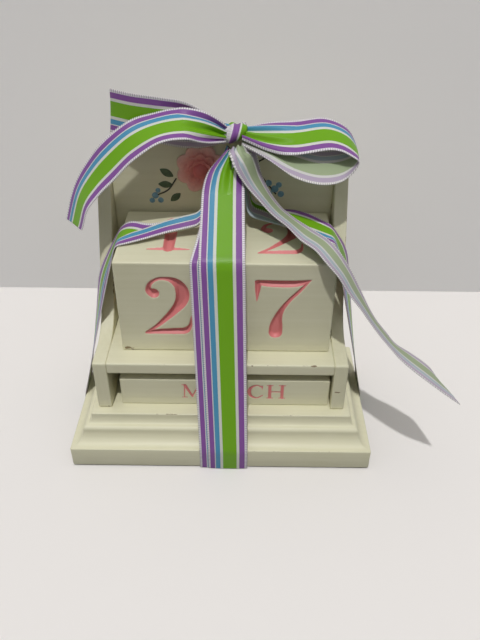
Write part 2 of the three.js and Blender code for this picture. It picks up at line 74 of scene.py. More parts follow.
def plugIn(tree, node, links):
    # each named socket gets a value, an output, or a node, which stands for the first of its outputs in use
    for socket, source in links.items():
        if isinstance(source, bpy.types.Node):
            source = [output for output in source.outputs if output.enabled][0]
        if isinstance(source, bpy.types.NodeSocket):
            tree.links.new(source, node.inputs[socket])
        else:
            node.inputs[socket].default_value = source


def addNode(tree, kind, links=None, **settings):
    # settings are the node's own fields
    node = tree.nodes.new("ShaderNode" + kind)
    for field, value in settings.items():
        setattr(node, field, value)
    plugIn(tree, node, links or {})
    return node


def newMaterial(name):
    material = bpy.data.materials.new(name)
    material.use_nodes = True
    tree = material.node_tree
    return material, tree, tree.nodes["Principled BSDF"]


def nodeBox(node):
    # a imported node's lowest and highest corner in millimetres
    low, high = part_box(node)
    return np.array(low) / mm, np.array(high) / mm


def addObject(name, data):
    made = bpy.data.objects.new(name, data)
    bpy.context.scene.collection.objects.link(made)
    return made


def unit(vectors):
    return vectors / np.linalg.norm(vectors, axis=-1, keepdims=True)


def fullTurn(count):
    # angles round a whole turn, each once
    return np.linspace(0, 2 * math.pi, count + 1)[:-1]


def gridPoints(*coordinates):
    # coordinates stretched to one grid and put together as its points
    return np.stack(np.broadcast_arrays(*coordinates), -1)


def gridQuads(rows, columns, closeColumns=False):
    r = np.arange(rows - 1)[:, None]
    c = np.arange(columns if closeColumns else columns - 1)[None, :]
    row, nextRow, nextColumn = r * columns, (r + 1) * columns, (c + 1) % columns
    corners = [row + c, row + nextColumn, nextRow + nextColumn, nextRow + c]
    return gridPoints(*corners).reshape(-1, 4)


def meshPiece(name, points, faceGroups, materials, body, slot, nodes=(), cornerUv=None, values=None,
              sharpAngle=None):
    # points in mm; each face group is an array with one row of corner numbers per face
    mesh = bpy.data.meshes.new(name)
    mesh.vertices.add(len(points))
    mesh.vertices.foreach_set("co", (np.asarray(points) * mm).astype(np.float32).ravel())
    corners = np.concatenate([np.asarray(group).ravel() for group in faceGroups])
    sizes = np.concatenate([np.full(len(group), np.shape(group)[1]) for group in faceGroups])
    mesh.loops.add(len(corners))
    mesh.loops.foreach_set("vertex_index", corners.astype(np.int32))
    mesh.polygons.add(len(sizes))
    mesh.polygons.foreach_set("loop_start", (np.cumsum(sizes) - sizes).astype(np.int32))
    mesh.update(calc_edges=True)
    if cornerUv is not None:
        layer = mesh.uv_layers.new(name="ribbonUv")
        layer.data.foreach_set("uv", np.asarray(cornerUv)[corners].astype(np.float32).ravel())
    for label, numbers in (values or {}).items():
        field = mesh.attributes.new(label, "FLOAT", "POINT")
        field.data.foreach_set("value", np.asarray(numbers, dtype=np.float32).ravel())
    for material in materials:
        mesh.materials.append(material)
    mesh.shade_smooth()
    if sharpAngle:
        mesh.set_sharp_from_angle(angle=math.radians(sharpAngle))
    piece = addObject(name, mesh)
    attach(piece, body)
    if nodes:
        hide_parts(*nodes)
    return piece


def closedSkin(rings):
    # rings (rows, columns, 3) closed round each row, with a fan to a middle point at both ends
    rows, columns = rings.shape[:2]
    points = np.concatenate([rings.reshape(-1, 3), [rings[0].mean(0)], [rings[-1].mean(0)]])
    ring = np.arange(columns)
    nextRing = (ring + 1) % columns
    last = (rows - 1) * columns
    startFan = np.stack([nextRing, ring, np.full(columns, rows * columns)], -1)
    endFan = np.stack([last + ring, last + nextRing, np.full(columns, rows * columns + 1)], -1)
    return points, [gridQuads(rows, columns, closeColumns=True), startFan, endFan]


def joinSkins(skins):
    # several closed skins as one point list and one set of faces
    points, quads, triangles, start = [], [], [], 0
    for skinPoints, groups in skins:
        quads.append(groups[0] + start)
        triangles += [group + start for group in groups[1:]]
        points.append(skinPoints)
        start += len(skinPoints)
    return np.concatenate(points), [np.concatenate(quads), np.concatenate(triangles)]


def smoothLine(stations, perSpan):
    # centripetal Catmull-Rom through the rows; its knots are the square roots of the chord lengths
    table = np.asarray(stations, dtype=float)
    padded = np.vstack([2 * table[0] - table[1], table, 2 * table[-1] - table[-2]])
    place = np.linspace(0, len(table) - 1, (len(table) - 1) * perSpan + 1)
    k = np.minimum(place.astype(int), len(table) - 2)
    chords = np.sqrt(np.linalg.norm(np.diff(padded[:, :3], axis=0), axis=1)) + 1e-9
    t1 = chords[k]
    t2 = t1 + chords[k + 1]
    t3 = t2 + chords[k + 2]
    t = t1 + (place - k) * (t2 - t1)
    p0, p1, p2, p3 = (padded[k + i] for i in range(4))

    def between(a, b, ta, tb):
        return a * ((tb - t) / (tb - ta))[:, None] + b * ((t - ta) / (tb - ta))[:, None]

    zero = np.zeros_like(t1)
    a1, a2, a3 = between(p0, p1, zero, t1), between(p1, p2, t1, t2), between(p2, p3, t2, t3)
    b1, b2 = between(a1, a2, zero, t2), between(a2, a3, t1, t3)
    return between(b1, b2, t1, t2)


cameraView = {"lens": 24.0, "sensor": 24.0, "pitchDown": 36.573, "turn": -0.398, "roll": 0.348,
              "place": (12.43, -294.71, 289.94)}


def makeCamera():
    pitch, turn, roll = (math.radians(cameraView[k]) for k in ("pitchDown", "turn", "roll"))
    ahead = np.array([math.sin(turn) * math.cos(pitch), math.cos(turn) * math.cos(pitch), -math.sin(pitch)])
    level = np.array([math.cos(turn), -math.sin(turn), 0.0])
    upright = np.cross(level, ahead)
    right = math.cos(roll) * level + math.sin(roll) * upright
    up = -math.sin(roll) * level + math.cos(roll) * upright
    camera = addObject("photoCamera", bpy.data.cameras.new("photoCamera"))
    camera.data.sensor_fit = "VERTICAL"
    camera.data.sensor_height = cameraView["sensor"]
    camera.data.lens = cameraView["lens"]
    turned = Matrix(np.column_stack([right, up, -ahead]).tolist()).to_4x4()
    camera.matrix_world = Matrix.Translation([c * mm for c in cameraView["place"]]) @ turned
    bpy.context.scene.camera = camera


stagePlan = {"floorColour": "#EEEAE7", "floorBounce": "#5E5C5A", "floorRoughness": 0.75, "floorReach": 2500.0,
             "wallColour": "#FFFCFA", "wallRoughness": 0.85, "wallGlow": 0.07, "wallDistance": 137.5,
             "wallHeight": 1600.0, "gritPerMetre": 400.0, "gritDepth": 0.0002}
lightPlan = {"horizon": 0.0, "zenith": 0.74, "shown": 0.52, "keyFrom": (-3.1, -28.3, 63.0),
             "keyStrength": 1.58, "keyAngle": 1.7}


def seenRays(tree):
    # 1 for what the eye, a gloss or a clear piece sees directly, 0 for the light that reaches the object
    path = addNode(tree, "LightPath")
    seen = path.outputs["Is Camera Ray"]
    for ray in ("Is Glossy Ray", "Is Transmission Ray"):
        seen = addNode(tree, "Math", {0: seen, 1: path.outputs[ray]}, operation="MAXIMUM")
    return seen


def floorBoard():
    # white laminate: almost no gloss, pale to the eye and in gloss, but throws little light up
    material, tree, shader = newMaterial("mattTableBoard")
    pale = addNode(tree, "Mix", {0: seenRays(tree), 6: linear(stagePlan["floorBounce"]),
                                 7: linear(stagePlan["floorColour"])}, data_type="RGBA")
    place = addNode(tree, "TexCoord").outputs["Object"]
    grit = addNode(tree, "TexNoise", {"Vector": place, "Scale": stagePlan["gritPerMetre"]})
    bump = addNode(tree, "Bump", {"Height": grit, "Strength": 0.05, "Distance": stagePlan["gritDepth"]})
    plugIn(tree, shader, {"Base Color": pale, "Roughness": stagePlan["floorRoughness"], "Normal": bump})
    return material


def wallPaint():
    # matt emulsion, seen from in front only; paler to the eye, with no more light on the object
    material, tree, shader = newMaterial("mattWallPaint")
    white = linear(stagePlan["wallColour"])
    glow = addNode(tree, "Math", {0: seenRays(tree), 1: stagePlan["wallGlow"]}, operation="MULTIPLY")
    plugIn(tree, shader, {"Base Color": white, "Roughness": stagePlan["wallRoughness"],
                          "Emission Color": white, "Emission Strength": glow})
    behind = addNode(tree, "NewGeometry").outputs["Backfacing"]
    either = addNode(tree, "MixShader", {0: behind, 1: shader, 2: addNode(tree, "BsdfTransparent")})
    plugIn(tree, tree.nodes["Material Output"], {"Surface": either})
    return material


def makeStage():
    far, wallY, top = (stagePlan[k] * mm for k in ("floorReach", "wallDistance", "wallHeight"))
    planes = {"stageFloor": (floorBoard(), [(-far, -far, 0), (far, -far, 0), (far, far, 0), (-far, far, 0)]),
              "stageWall": (wallPaint(), [(-far, wallY, 0), (far, wallY, 0), (far, wallY, top),
                                          (-far, wallY, top)])}
    for label, (material, corners) in planes.items():
        mesh = bpy.data.meshes.new(label)
        mesh.from_pydata(corners, [], [(0, 1, 2, 3)])
        mesh.materials.append(material)
        plane = addObject(label, mesh)


def makeLight():
    # a broad soft light overhead, seen as an even pale grey like the wall, and one high sun for the shadows
    scene = bpy.context.scene
    scene.world = scene.world or bpy.data.worlds.new("softRoom")
    scene.world.use_nodes = True
    tree = scene.world.node_tree
    height = addNode(tree, "SeparateXYZ", {0: addNode(tree, "TexCoord").outputs["Generated"]})
    level = addNode(tree, "MapRange", {"Value": height.outputs["Z"], "To Min": lightPlan["horizon"],
                                       "To Max": lightPlan["zenith"]})
    shown = addNode(tree, "Mix", {0: seenRays(tree), 2: level, 3: lightPlan["shown"]})
    plugIn(tree, tree.nodes["Background"], {"Color": (1.0, 1.0, 1.0, 1.0), "Strength": shown})
    key = addObject("keyLight", bpy.data.lights.new("keyLight", "SUN"))
    key.data.energy = lightPlan["keyStrength"]
    key.data.angle = math.radians(lightPlan["keyAngle"])
    key.rotation_euler = Vector(lightPlan["keyFrom"]).to_track_quat("Z", "Y").to_euler()


makeCamera()
makeStage()
makeLight()
bpy.context.scene.view_settings.view_transform = "Standard"
print("camera, stage and light made")

# noise scales are counts per metre: 28 is a cloud of 36 mm, 260 a crumb of 4 mm; wear is the range of noise
# times edge over which the paint gives way, ragged an uneven rim for chips as shares of their radius
paintPlan = {"coat": "#E6E3C9", "aged": "#D5D1B0", "underPaint": "#8C8163", "bareWood": "#7A5A3C",
             "brushPitch": 0.8, "clouds": 28.0, "patches": 45.0, "crumbs": 260.0, "inlayRim": 900.0,
             "streakShare": 0.35, "wear": (0.30, 0.36), "ragged": (5.0, -2.3), "roughness": (0.40, 0.54),
             "reliefStrength": 0.35, "reliefDepth": 0.00015}


def eggshellPaint(name, strokeAxis, chips=(), inlay=None):
    # brushed eggshell paint over pine: soft gloss, fine strokes along the grain, worn through at the edges
    p = paintPlan
    material, tree, shader = newMaterial(name)
    place = addNode(tree, "TexCoord").outputs["Object"]
    stretch = [1 / (p["brushPitch"] * mm)] * 3
    stretch[strokeAxis] *= 0.03
    strokes = addNode(tree, "Mapping", {"Vector": place, "Scale": stretch})
    brush = addNode(tree, "TexNoise", {"Vector": strokes, "Scale": 1.0, "Detail": 3.0, "Roughness": 0.6})
    cloud = addNode(tree, "TexNoise", {"Vector": place, "Scale": p["clouds"], "Detail": 4.0})
    # the brush's own width shows as long faint streaks, three bristle marks wide
    streak = addNode(tree, "TexNoise", {"Vector": strokes, "Scale": 0.33})
    streak = addNode(tree, "MapRange", {"Value": streak, "From Min": 0.2, "From Max": 0.8})
    ageing = addNode(tree, "Mix", {0: p["streakShare"], 2: cloud, 3: streak})
    tone = addNode(tree, "Mix", {0: ageing, 6: linear(p["coat"]), 7: linear(p["aged"])}, data_type="RGBA")
    edge = addNode(tree, "Attribute", attribute_name="edge")
    crumble = addNode(tree, "TexNoise", {"Vector": place, "Scale": p["crumbs"], "Detail": 5.0,
                                         "Roughness": 0.7})
    patches = addNode(tree, "TexNoise", {"Vector": place, "Scale": p["patches"]})
    amount = addNode(tree, "Math", {0: crumble, 1: patches}, operation="MULTIPLY")
    amount = addNode(tree, "Math", {0: amount, 1: edge.outputs["Fac"]}, operation="MULTIPLY")
    worn = addNode(tree, "MapRange", {"Value": amount, "From Min": p["wear"][0], "From Max": p["wear"][1]})
    for centre, radius in chips:  # single chips, by their place on the object, longer along x
        size = radius * mm
        offset = addNode(tree, "VectorMath", {0: place, 1: [c * mm for c in centre]}, operation="SUBTRACT")
        longer = addNode(tree, "VectorMath", {0: offset, 1: (0.4, 1.3, 1.3)}, operation="MULTIPLY")
        away = addNode(tree, "VectorMath", {0: longer}, operation="LENGTH")
        ragged = addNode(tree, "Math", {0: crumble, 1: size * p["ragged"][0], 2: size * p["ragged"][1]},
                         operation="MULTIPLY_ADD")
        reach = addNode(tree, "Math", {0: away, 1: ragged}, operation="ADD")
        spot = addNode(tree, "MapRange", {"Value": reach, "From Min": size * 1.1, "From Max": size * 0.9})
        worn = addNode(tree, "Math", {0: worn, 1: spot}, operation="MAXIMUM")
    bare = addNode(tree, "Mix", {0: brush, 6: linear(p["bareWood"]), 7: linear(p["underPaint"])},
                   data_type="RGBA")
    colour = addNode(tree, "Mix", {0: worn, 6: tone, 7: bare}, data_type="RGBA")
    if inlay:  # second colour laid in a carved groove, with a slightly uneven edge
        carve = addNode(tree, "Attribute", attribute_name="carve")
        ragged = addNode(tree, "TexNoise", {"Vector": place, "Scale": p["inlayRim"]})
        shifted = addNode(tree, "Math", {0: ragged, 1: 0.3, 2: -0.1}, operation="MULTIPLY_ADD")
        inside = addNode(tree, "Math", {0: carve.outputs["Fac"], 1: shifted}, operation="SUBTRACT")
        filled = addNode(tree, "MapRange", {"Value": inside, "From Min": -0.08, "From Max": 0.12})
        wash = addNode(tree, "Mix", {0: cloud, 6: linear(inlay[0]), 7: linear(inlay[1])}, data_type="RGBA")
        colour = addNode(tree, "Mix", {0: filled, 6: colour, 7: wash}, data_type="RGBA")
    gloss = addNode(tree, "MapRange", {"Value": cloud, "To Min": p["roughness"][0],
                                       "To Max": p["roughness"][1]})
    strokeHeight = addNode(tree, "Math", {0: brush, 1: 0.5}, operation="MULTIPLY")
    height = addNode(tree, "Math", {0: worn, 1: -0.8, 2: strokeHeight}, operation="MULTIPLY_ADD")
    bump = addNode(tree, "Bump", {"Height": height, "Strength": p["reliefStrength"],
                                  "Distance": p["reliefDepth"]})
    plugIn(tree, shader, {"Base Color": colour, "Roughness": gloss, "Normal": bump})
    return material


def zincScrew():
    # zinc-plated steel, turned and tumbled: grey metal with a mottled sheen
    material, tree, shader = newMaterial("zincPlatedSteel")
    place = addNode(tree, "TexCoord").outputs["Object"]
    mottle = addNode(tree, "TexNoise", {"Vector": place, "Scale": 900.0, "Detail": 3.0})
    tint = addNode(tree, "Mix", {0: mottle, 6: linear("#A9A69C"), 7: linear("#8C897F")}, data_type="RGBA")
    gloss = addNode(tree, "MapRange", {"Value": mottle, "To Min": 0.32, "To Max": 0.5})
    plugIn(tree, shader, {"Base Color": tint, "Metallic": 1.0, "Roughness": gloss})
    return material


ribbonPlan = {
    "width": 22.0, "thickness": 0.35, "ribPitch": 0.55, "picotPitch": 1.15, "picotDepth": 0.34,
    "pleats": 3, "pleatPhase": 0.6, "pleatHeight": 2.0, "narrowest": 0.2, "slantLength": 14.0,
    "lapShare": 0.12, "specular": 0.3,
    # right side, then wrong side
    "anisotropic": (0.5, 0.2), "roughness": (0.3, 0.5),
    # stripes from one selvedge to the other: share of the width, right side, wrong side
    "stripes": [(0.050, "#E9E4E9", "#E6E3E0"), (0.115, "#8A55A0", "#B9ABBF"), (0.024, "#E0DFDA", "#D8D7D3"),
                (0.118, "#5199BE", "#AEBCC5"), (0.070, "#DEDFD6", "#D8D7D3"), (0.352, "#74AF14", "#A6B490"),
                (0.070, "#DEDFD6", "#D8D7D3"), (0.136, "#8A55A0", "#B9ABBF"), (0.065, "#E9E4E9", "#E6E3E0")],
}


def wovenRibbon(name, side):
    # woven satin stripes with fine cross ribs and white picot selvedges: a soft, slightly shiny cloth
    p = ribbonPlan
    material, tree, shader = newMaterial(name)
    uv = addNode(tree, "UVMap", uv_map="ribbonUv")
    parts = addNode(tree, "SeparateXYZ", {0: uv})
    across, along = parts.outputs["X"], parts.outputs["Y"]
    fuzz = addNode(tree, "TexNoise", {"Vector": uv, "Scale": 160.0, "Detail": 1.0})
    shift = addNode(tree, "Math", {0: fuzz, 1: 0.012, 2: -0.006}, operation="MULTIPLY_ADD")
    ramp = addNode(tree, "ValToRGB", {0: addNode(tree, "Math", {0: across, 1: shift}, operation="ADD")})
    ramp.color_ramp.interpolation = "CONSTANT"
    edge = 0.0
    for i, stripe in enumerate(p["stripes"]):
        stop = ramp.color_ramp.elements[0] if i == 0 else ramp.color_ramp.elements.new(edge)
        stop.position = edge
        stop.color = linear(stripe[1 + side])
        edge += stripe[0]
    ramp.color_ramp.elements.remove(ramp.color_ramp.elements[-1])
    # ribs run across and picots stand along the edges: sines of the length along, each over its own pitch;
    # the ribs are drawn coarser than the real 0.3 mm so that they show
    waves = []
    for pitch in ("ribPitch", "picotPitch"):
        turns = 2 * math.pi * p["width"] / p[pitch]
        wave = addNode(tree, "Math", {0: along, 1: turns}, operation="MULTIPLY")
        waves.append(addNode(tree, "Math", {0: wave}, operation="SINE"))
    fromMiddle = addNode(tree, "Math", {0: across, 1: 0.5}, operation="SUBTRACT")
    fromMiddle = addNode(tree, "Math", {0: fromMiddle}, operation="ABSOLUTE")
    selvedge = addNode(tree, "MapRange", {"Value": fromMiddle, "From Min": 0.44, "From Max": 0.45})
    relief = addNode(tree, "Mix", {0: selvedge, 2: waves[0], 3: waves[1]})
    # painted shade: the colour is darkened in the troughs of the ribs and far more in the gaps between the
    # picots at the selvedges
    gap = addNode(tree, "MapRange", {"Value": selvedge, "To Min": 0.92, "To Max": 0.55})
    shade = addNode(tree, "MapRange", {"Value": relief, "From Min": -1.0, "From Max": 0.3, "To Min": gap})
    tint = addNode(tree, "VectorMath", {0: ramp, "Scale": shade}, operation="SCALE")
    bump = addNode(tree, "Bump", {"Height": relief, "Strength": 0.3, "Distance": 0.0001})
    # satin floats run lengthwise, so that the gloss spreads one way
    lengthwise = addNode(tree, "Tangent", direction_type="UV_MAP", uv_map="ribbonUv")
    plugIn(tree, shader, {"Base Color": tint, "Normal": bump, "Tangent": lengthwise,
                          "Anisotropic": p["anisotropic"][side], "Roughness": p["roughness"][side],
                          "Specular IOR Level": p["specular"]})
    return material


digitInk = ("#DE7B7C", "#E28A88")
# chips by place and radius in mm
standPaint = eggshellPaint("eggshellPaintedPine", 0, chips=[
    ((17.5, -30.5, 62.9), 0.7), ((25.5, -30.5, 63.1), 0.6), ((31.0, -30.5, 63.0), 0.7),
    ((51.0, -30.5, 63.1), 0.7), ((36.0, -36.6, 27.0), 0.35), ((-61.0, 39.8, 141.0), 0.8)])
uprightPaint = eggshellPaint("eggshellPaintedPineUpright", 2, chips=[
    ((-65.5, -30.5, 31.5), 0.7), ((66.0, -30.5, 44.0), 0.6), ((-66.0, 39.5, 138.0), 0.8)])
blockPaint = eggshellPaint("eggshellPaintedBlock", 0, inlay=digitInk, chips=[
    ((-51.5, -18.5, 65.0), 0.9), ((-49.0, -18.5, 63.8), 0.7)])
screwMetal = zincScrew()
ribbonRight = wovenRibbon("wovenStripedRibbon", 0)
ribbonWrong = wovenRibbon("wovenStripedRibbonBack", 1)
print("finishes made")


def offsetInward(outline, distance):
    # each corner moves along the mitre of its two edge normals
    before, after = np.roll(outline, 1, axis=0), np.roll(outline, -1, axis=0)
    into, out = unit(outline - before), unit(after - outline)
    normalIn = np.stack([-into[:, 1], into[:, 0]], -1)
    normalOut = np.stack([-out[:, 1], out[:, 0]], -1)
    mitre = normalIn + normalOut
    mitre /= (1 + (normalIn * normalOut).sum(1))[:, None]
    return outline + mitre * distance


# beyond each rounding another ring or point keeps the flat faces flat in the shading: so many mm further
# on along the sides, and on the caps so many eases in from the outline
flatGuard, capGuard = 0.5, 1.6


def easedSlab(outline, thickness, ease):
    # outline runs anticlockwise; ring t: inset ease(1 - sin t), height ease(1 - cos t), mirrored above
    turns = np.linspace(0, math.pi / 2, 6)
    insets = np.concatenate([[ease * capGuard], ease * (1 - np.sin(turns)), [0.0]])
    heights = np.concatenate([[0.0], ease * (1 - np.cos(turns)), [ease + flatGuard]])
    wear = np.array([0.0, 0.4, 0.8, 1.0, 1.0, 0.8, 0.4, 0.0])
    insets = np.concatenate([insets, insets[::-1]])
    heights = np.concatenate([heights, thickness - heights[::-1]])
    wear = np.concatenate([wear, wear[::-1]])
    rings = np.stack([np.column_stack([offsetInward(outline, inset), np.full(len(outline), height)])
                      for inset, height in zip(insets, heights)])
    rows, columns = rings.shape[:2]
    last = (rows - 1) * columns
    caps = [np.arange(columns)[::-1][None, :], (last + np.arange(columns))[None, :]]
    faces = [gridQuads(rows, columns, closeColumns=True)] + caps
    return rings.reshape(-1, 3), faces, np.repeat(wear, columns)


def roundedCorners(outline, radius):
    # sharp corners become arcs tangent to both sides, with a point beyond each end that keeps the side flat
    outline = np.asarray(outline, dtype=float)
    points, wear = [], []
    for before, corner, after in zip(np.roll(outline, 1, axis=0), outline, np.roll(outline, -1, axis=0)):
        back, ahead = before - corner, after - corner
        roomBack, roomAhead = np.linalg.norm(back), np.linalg.norm(ahead)
        back, ahead = back / roomBack, ahead / roomAhead
        turn = math.pi - math.acos(np.clip(back @ ahead, -1, 1))
        if turn < math.radians(25):
            points.append(corner[None, :])
            wear.append([0.0])
            continue
        reach = radius * math.tan(turn / 2)
        guard = min(reach + flatGuard, 0.45 * roomBack, 0.45 * roomAhead)
        middle = corner + unit(back + ahead) * radius / math.cos(turn / 2)
        start, end = corner + back * reach - middle, corner + ahead * reach - middle
        share = np.linspace(0, 1, 6)[:, None]
        arc = (np.sin((1 - share) * turn) * start + np.sin(share * turn) * end) / math.sin(turn)
        points += [(corner + back * guard)[None, :], middle + arc, (corner + ahead * guard)[None, :]]
        wear += [[0.0], [0.4, 0.8, 1.0, 1.0, 0.8, 0.4], [0.0]]
    return np.concatenate(points), np.concatenate(wear)


def slabPiece(name, outline, thickness, ease, axes, start, material, nodes):
    # axes puts outline u, outline v and the thickness on x, y and z
    outline, cornerWear = roundedCorners(outline, ease * 1.7)
    points, faces, wear = easedSlab(outline, thickness, ease)
    wear = np.maximum(wear, np.tile(cornerWear, len(wear) // len(cornerWear)) * 0.9)
    placed = points @ np.asarray(axes, dtype=float) + np.asarray(start, dtype=float)
    return meshPiece(name, placed, faces, [material], "stand", "painted_wood", nodes, values={"edge": wear})


sidePlan = {"slope": 65.0, "coveRadius": 26.0, "ease": 0.7}


def makeSides():
    shelfTopZ = nodeBox("shelf_board")[1][2]
    backFrontY = nodeBox("back_board")[0][1]
    for label in ("left", "right"):
        low, high = nodeBox("side_panel_" + label)
        slope = math.radians(sidePlan["slope"])
        footY = backFrontY - (high[2] - shelfTopZ) / math.tan(slope)
        run = sidePlan["coveRadius"] * math.tan(slope / 2)
        arc = np.linspace(slope, 0, 16)
        cove = np.column_stack([footY - run + sidePlan["coveRadius"] * np.sin(arc),
                                shelfTopZ + sidePlan["coveRadius"] * (1 - np.cos(arc))])
        outline = np.vstack([[low[1], low[2]], [high[1], low[2]], [high[1], high[2]], [backFrontY, high[2]],
                             cove, [low[1], shelfTopZ]])
        slabPiece("sidePanel_" + label, outline, high[0] - low[0], sidePlan["ease"],
                  [[0, 1, 0], [0, 0, 1], [1, 0, 0]], [low[0], 0, 0], uprightPaint, ["side_panel_" + label])


shelfPlan = {"ease": 0.6}


def makeShelf():
    low, high = nodeBox("shelf_board")
    outline = [[low[1], low[2]], [high[1], low[2]], [high[1], high[2]], [low[1], high[2]]]
    slabPiece("shelfBoard", outline, high[0] - low[0], shelfPlan["ease"], [[0, 1, 0], [0, 0, 1], [1, 0, 0]],
              [low[0], 0, 0], standPaint, ["shelf_board"])


backPlan = {"shoulderDrop": 21.7, "ease": 0.8}


def makeBack():
    low, high = nodeBox("back_board")
    rise, half = backPlan["shoulderDrop"], high[0]
    radius = (half ** 2 + rise ** 2) / (2 * rise)  # crown: one arc from shoulder to shoulder
    x = np.linspace(half, -half, 61)
    crown = np.column_stack([x, high[2] - radius + np.sqrt(radius ** 2 - x ** 2)])
    outline = np.vstack([[low[0], low[2]], [half, low[2]], crown])
    slabPiece("backBoard", outline, high[1] - low[1], backPlan["ease"], [[1, 0, 0], [0, 0, 1], [0, -1, 0]],
              [0, high[1], 0], standPaint, ["back_board"])


basePlan = {"slab": 13.4, "ease": 0.9, "slabEase": 0.6, "coveInset": 1.1, "noseInset": 7.1,
            "noseHeight": 21.4, "beadWidth": 2.6, "beadRise": 2.4, "topInset": 12.5, "topEase": 0.7,
            "topGuard": 0.6, "corner": 0.9, "screwHead": 6.8, "screwRecess": 1.0, "recessSides": 24}


def quarterArc(start, end, count, sideways):
    # (inset, height) from start to end: one follows the sine of the turn and the other one less its cosine,
    # so that the arc sets off along the inset where it is sideways, and else along the height
    turn = np.linspace(0, math.pi / 2, count)
    shares = [np.sin(turn), 1 - np.cos(turn)] if sideways else [1 - np.cos(turn), np.sin(turn)]
    return np.array(start) + np.subtract(end, start) * np.column_stack(shares)


def baseProfile(height):
    # moulding from the foot up, in quarter arcs: eased slab, hollow, small bead, hollow, eased top
    p = basePlan
    nose = (p["noseInset"], p["noseHeight"])
    bead = (p["noseInset"] + p["beadWidth"], p["noseHeight"] + p["beadRise"])
    brow = (p["topInset"] - p["topEase"], height - p["topEase"])
    rows = np.vstack([quarterArc((p["ease"], 0), (0, p["ease"]), 5, True),
                      quarterArc((0, p["slab"] - p["slabEase"]), (p["slabEase"], p["slab"]), 5, False),
                      quarterArc((p["coveInset"], p["slab"]), nose, 14, True),
                      quarterArc(nose, bead, 9, False)[1:], quarterArc(bead, brow, 14, True)[1:],
                      quarterArc(brow, (p["topInset"], height), 5, False)[1:],
                      [[p["topInset"] + p["topGuard"], height]]])
    wear = np.concatenate([[0.2, 0.6, 0.9, 0.7, 0.2], [0.2, 0.7, 1.0, 0.8, 0.4], np.linspace(0.3, 0.1, 13),
                           np.full(8, 0.7), [0.3], np.full(12, 0.1), [0.3], [0.7, 1.0, 0.8, 0.4], [0.0]])
    return rows, wear


def makeBase():
    low, high = nodeBox("base_plinth")
    profile, wear = baseProfile(high[2] - low[2])
    inset, height = profile[:, :1], profile[:, 1:]
    corner, sides = basePlan["corner"], basePlan["recessSides"]
    # the front and the sides step in with the moulding, the back edge stays straight
    left, right = low[0] + inset + corner, high[0] - inset - corner
    front, back = low[1] + inset + corner, high[1] - corner
    arcs = []
    for quarter, (x, y) in enumerate([(right, front), (right, back), (left, back), (left, front)]):
        turn = (quarter - 1) * math.pi / 2 + np.linspace(0, math.pi / 2, 6)
        arcs.append(gridPoints(x + corner * np.cos(turn), y + corner * np.sin(turn), low[2] + height))
    rings = np.concatenate(arcs, axis=1)
    count, columns = rings.shape[:2]
    topCap = ((count - 1) * columns + np.arange(columns))[None, :]
    # underside with a round recess for each screw head
    circle = fullTurn(sides)
    rimShape = np.column_stack([np.cos(circle), np.sin(circle)]) * basePlan["screwHead"] / 2
    holes = []
    for screw in (n for n in frame["nodes"] if n.startswith("screw_")):
        middle = sum(nodeBox(screw))[:2] / 2
        holes.append(np.column_stack([middle + rimShape, np.full(sides, low[2])]))
    loops = [rings[0]] + [hole[::-1] for hole in holes]
    triangles = np.array(tessellate_polygon([[tuple(p) for p in loop] for loop in loops]))
    points, order, walls, floors = [rings.reshape(-1, 3)], [np.arange(columns)], [], []
    start = count * columns
    for hole in holes:
        rim = start + np.arange(sides)
        nextRim = np.roll(rim, -1)
        order.append(rim[::-1])
        points += [hole, hole + [0, 0, basePlan["screwRecess"]]]
        walls.append(np.stack([rim, nextRim, nextRim + sides, rim + sides], -1))
        floors.append((rim + sides)[::-1][None, :])
        start += 2 * sides
    points = np.vstack(points)
    triangles = np.concatenate(order)[triangles]
    a, b, c = (points[triangles[:, i]] for i in range(3))
    up = np.cross(b - a, c - a)[:, 2] > 0
    triangles[up] = triangles[up][:, ::-1]
    faces = [gridQuads(count, columns, closeColumns=True), topCap, triangles] + walls + floors
    edge = np.concatenate([np.repeat(wear, columns), np.zeros(len(points) - count * columns)])
    meshPiece("basePlinth", points, faces, [standPaint], "stand", "painted_wood", ["base_plinth"],
              values={"edge": edge}, sharpAngle=40)


bradPlan = {"shank": 0.65, "tip": 0.3, "head": 0.6, "punched": 0.8, "short": 0.2}


def makeBrads():
    # nails punched under the paint, so that no head lies in the plane of the panel: rings along x
    p = bradPlan
    names = [n for n in frame["nodes"] if n.startswith("brad_")]
    turn = fullTurn(16)
    radius = np.array([p["tip"], p["shank"], p["shank"], p["head"]])[:, None]
    skins = []
    for name in names:
        low, high = nodeBox(name)
        middle = (low + high) / 2
        trims = (p["short"], p["punched"]) if middle[0] > 0 else (p["punched"], p["short"])
        start, end = low[0] + trims[0], high[0] - trims[1]
        x = np.array([start, start + 0.01, end - 0.01, end])[:, None]
        skins.append(closedSkin(gridPoints(x, middle[1] + radius * np.cos(turn),
                                           middle[2] + radius * np.sin(turn))))
    points, faces = joinSkins(skins)
    meshPiece("panelBrads", points, faces, [screwMetal], "stand", "steel_fasteners", names)


makeSides()
makeShelf()
makeBack()
makeBase()
makeBrads()
for node in frame["nodes"]:
    if node.startswith("screw_"):
        holder = [o for o in bpy.data.objects if o.get("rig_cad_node") == node][0]
        holder.data.materials.clear()
        holder.data.materials.append(screwMetal)
print("stand made")

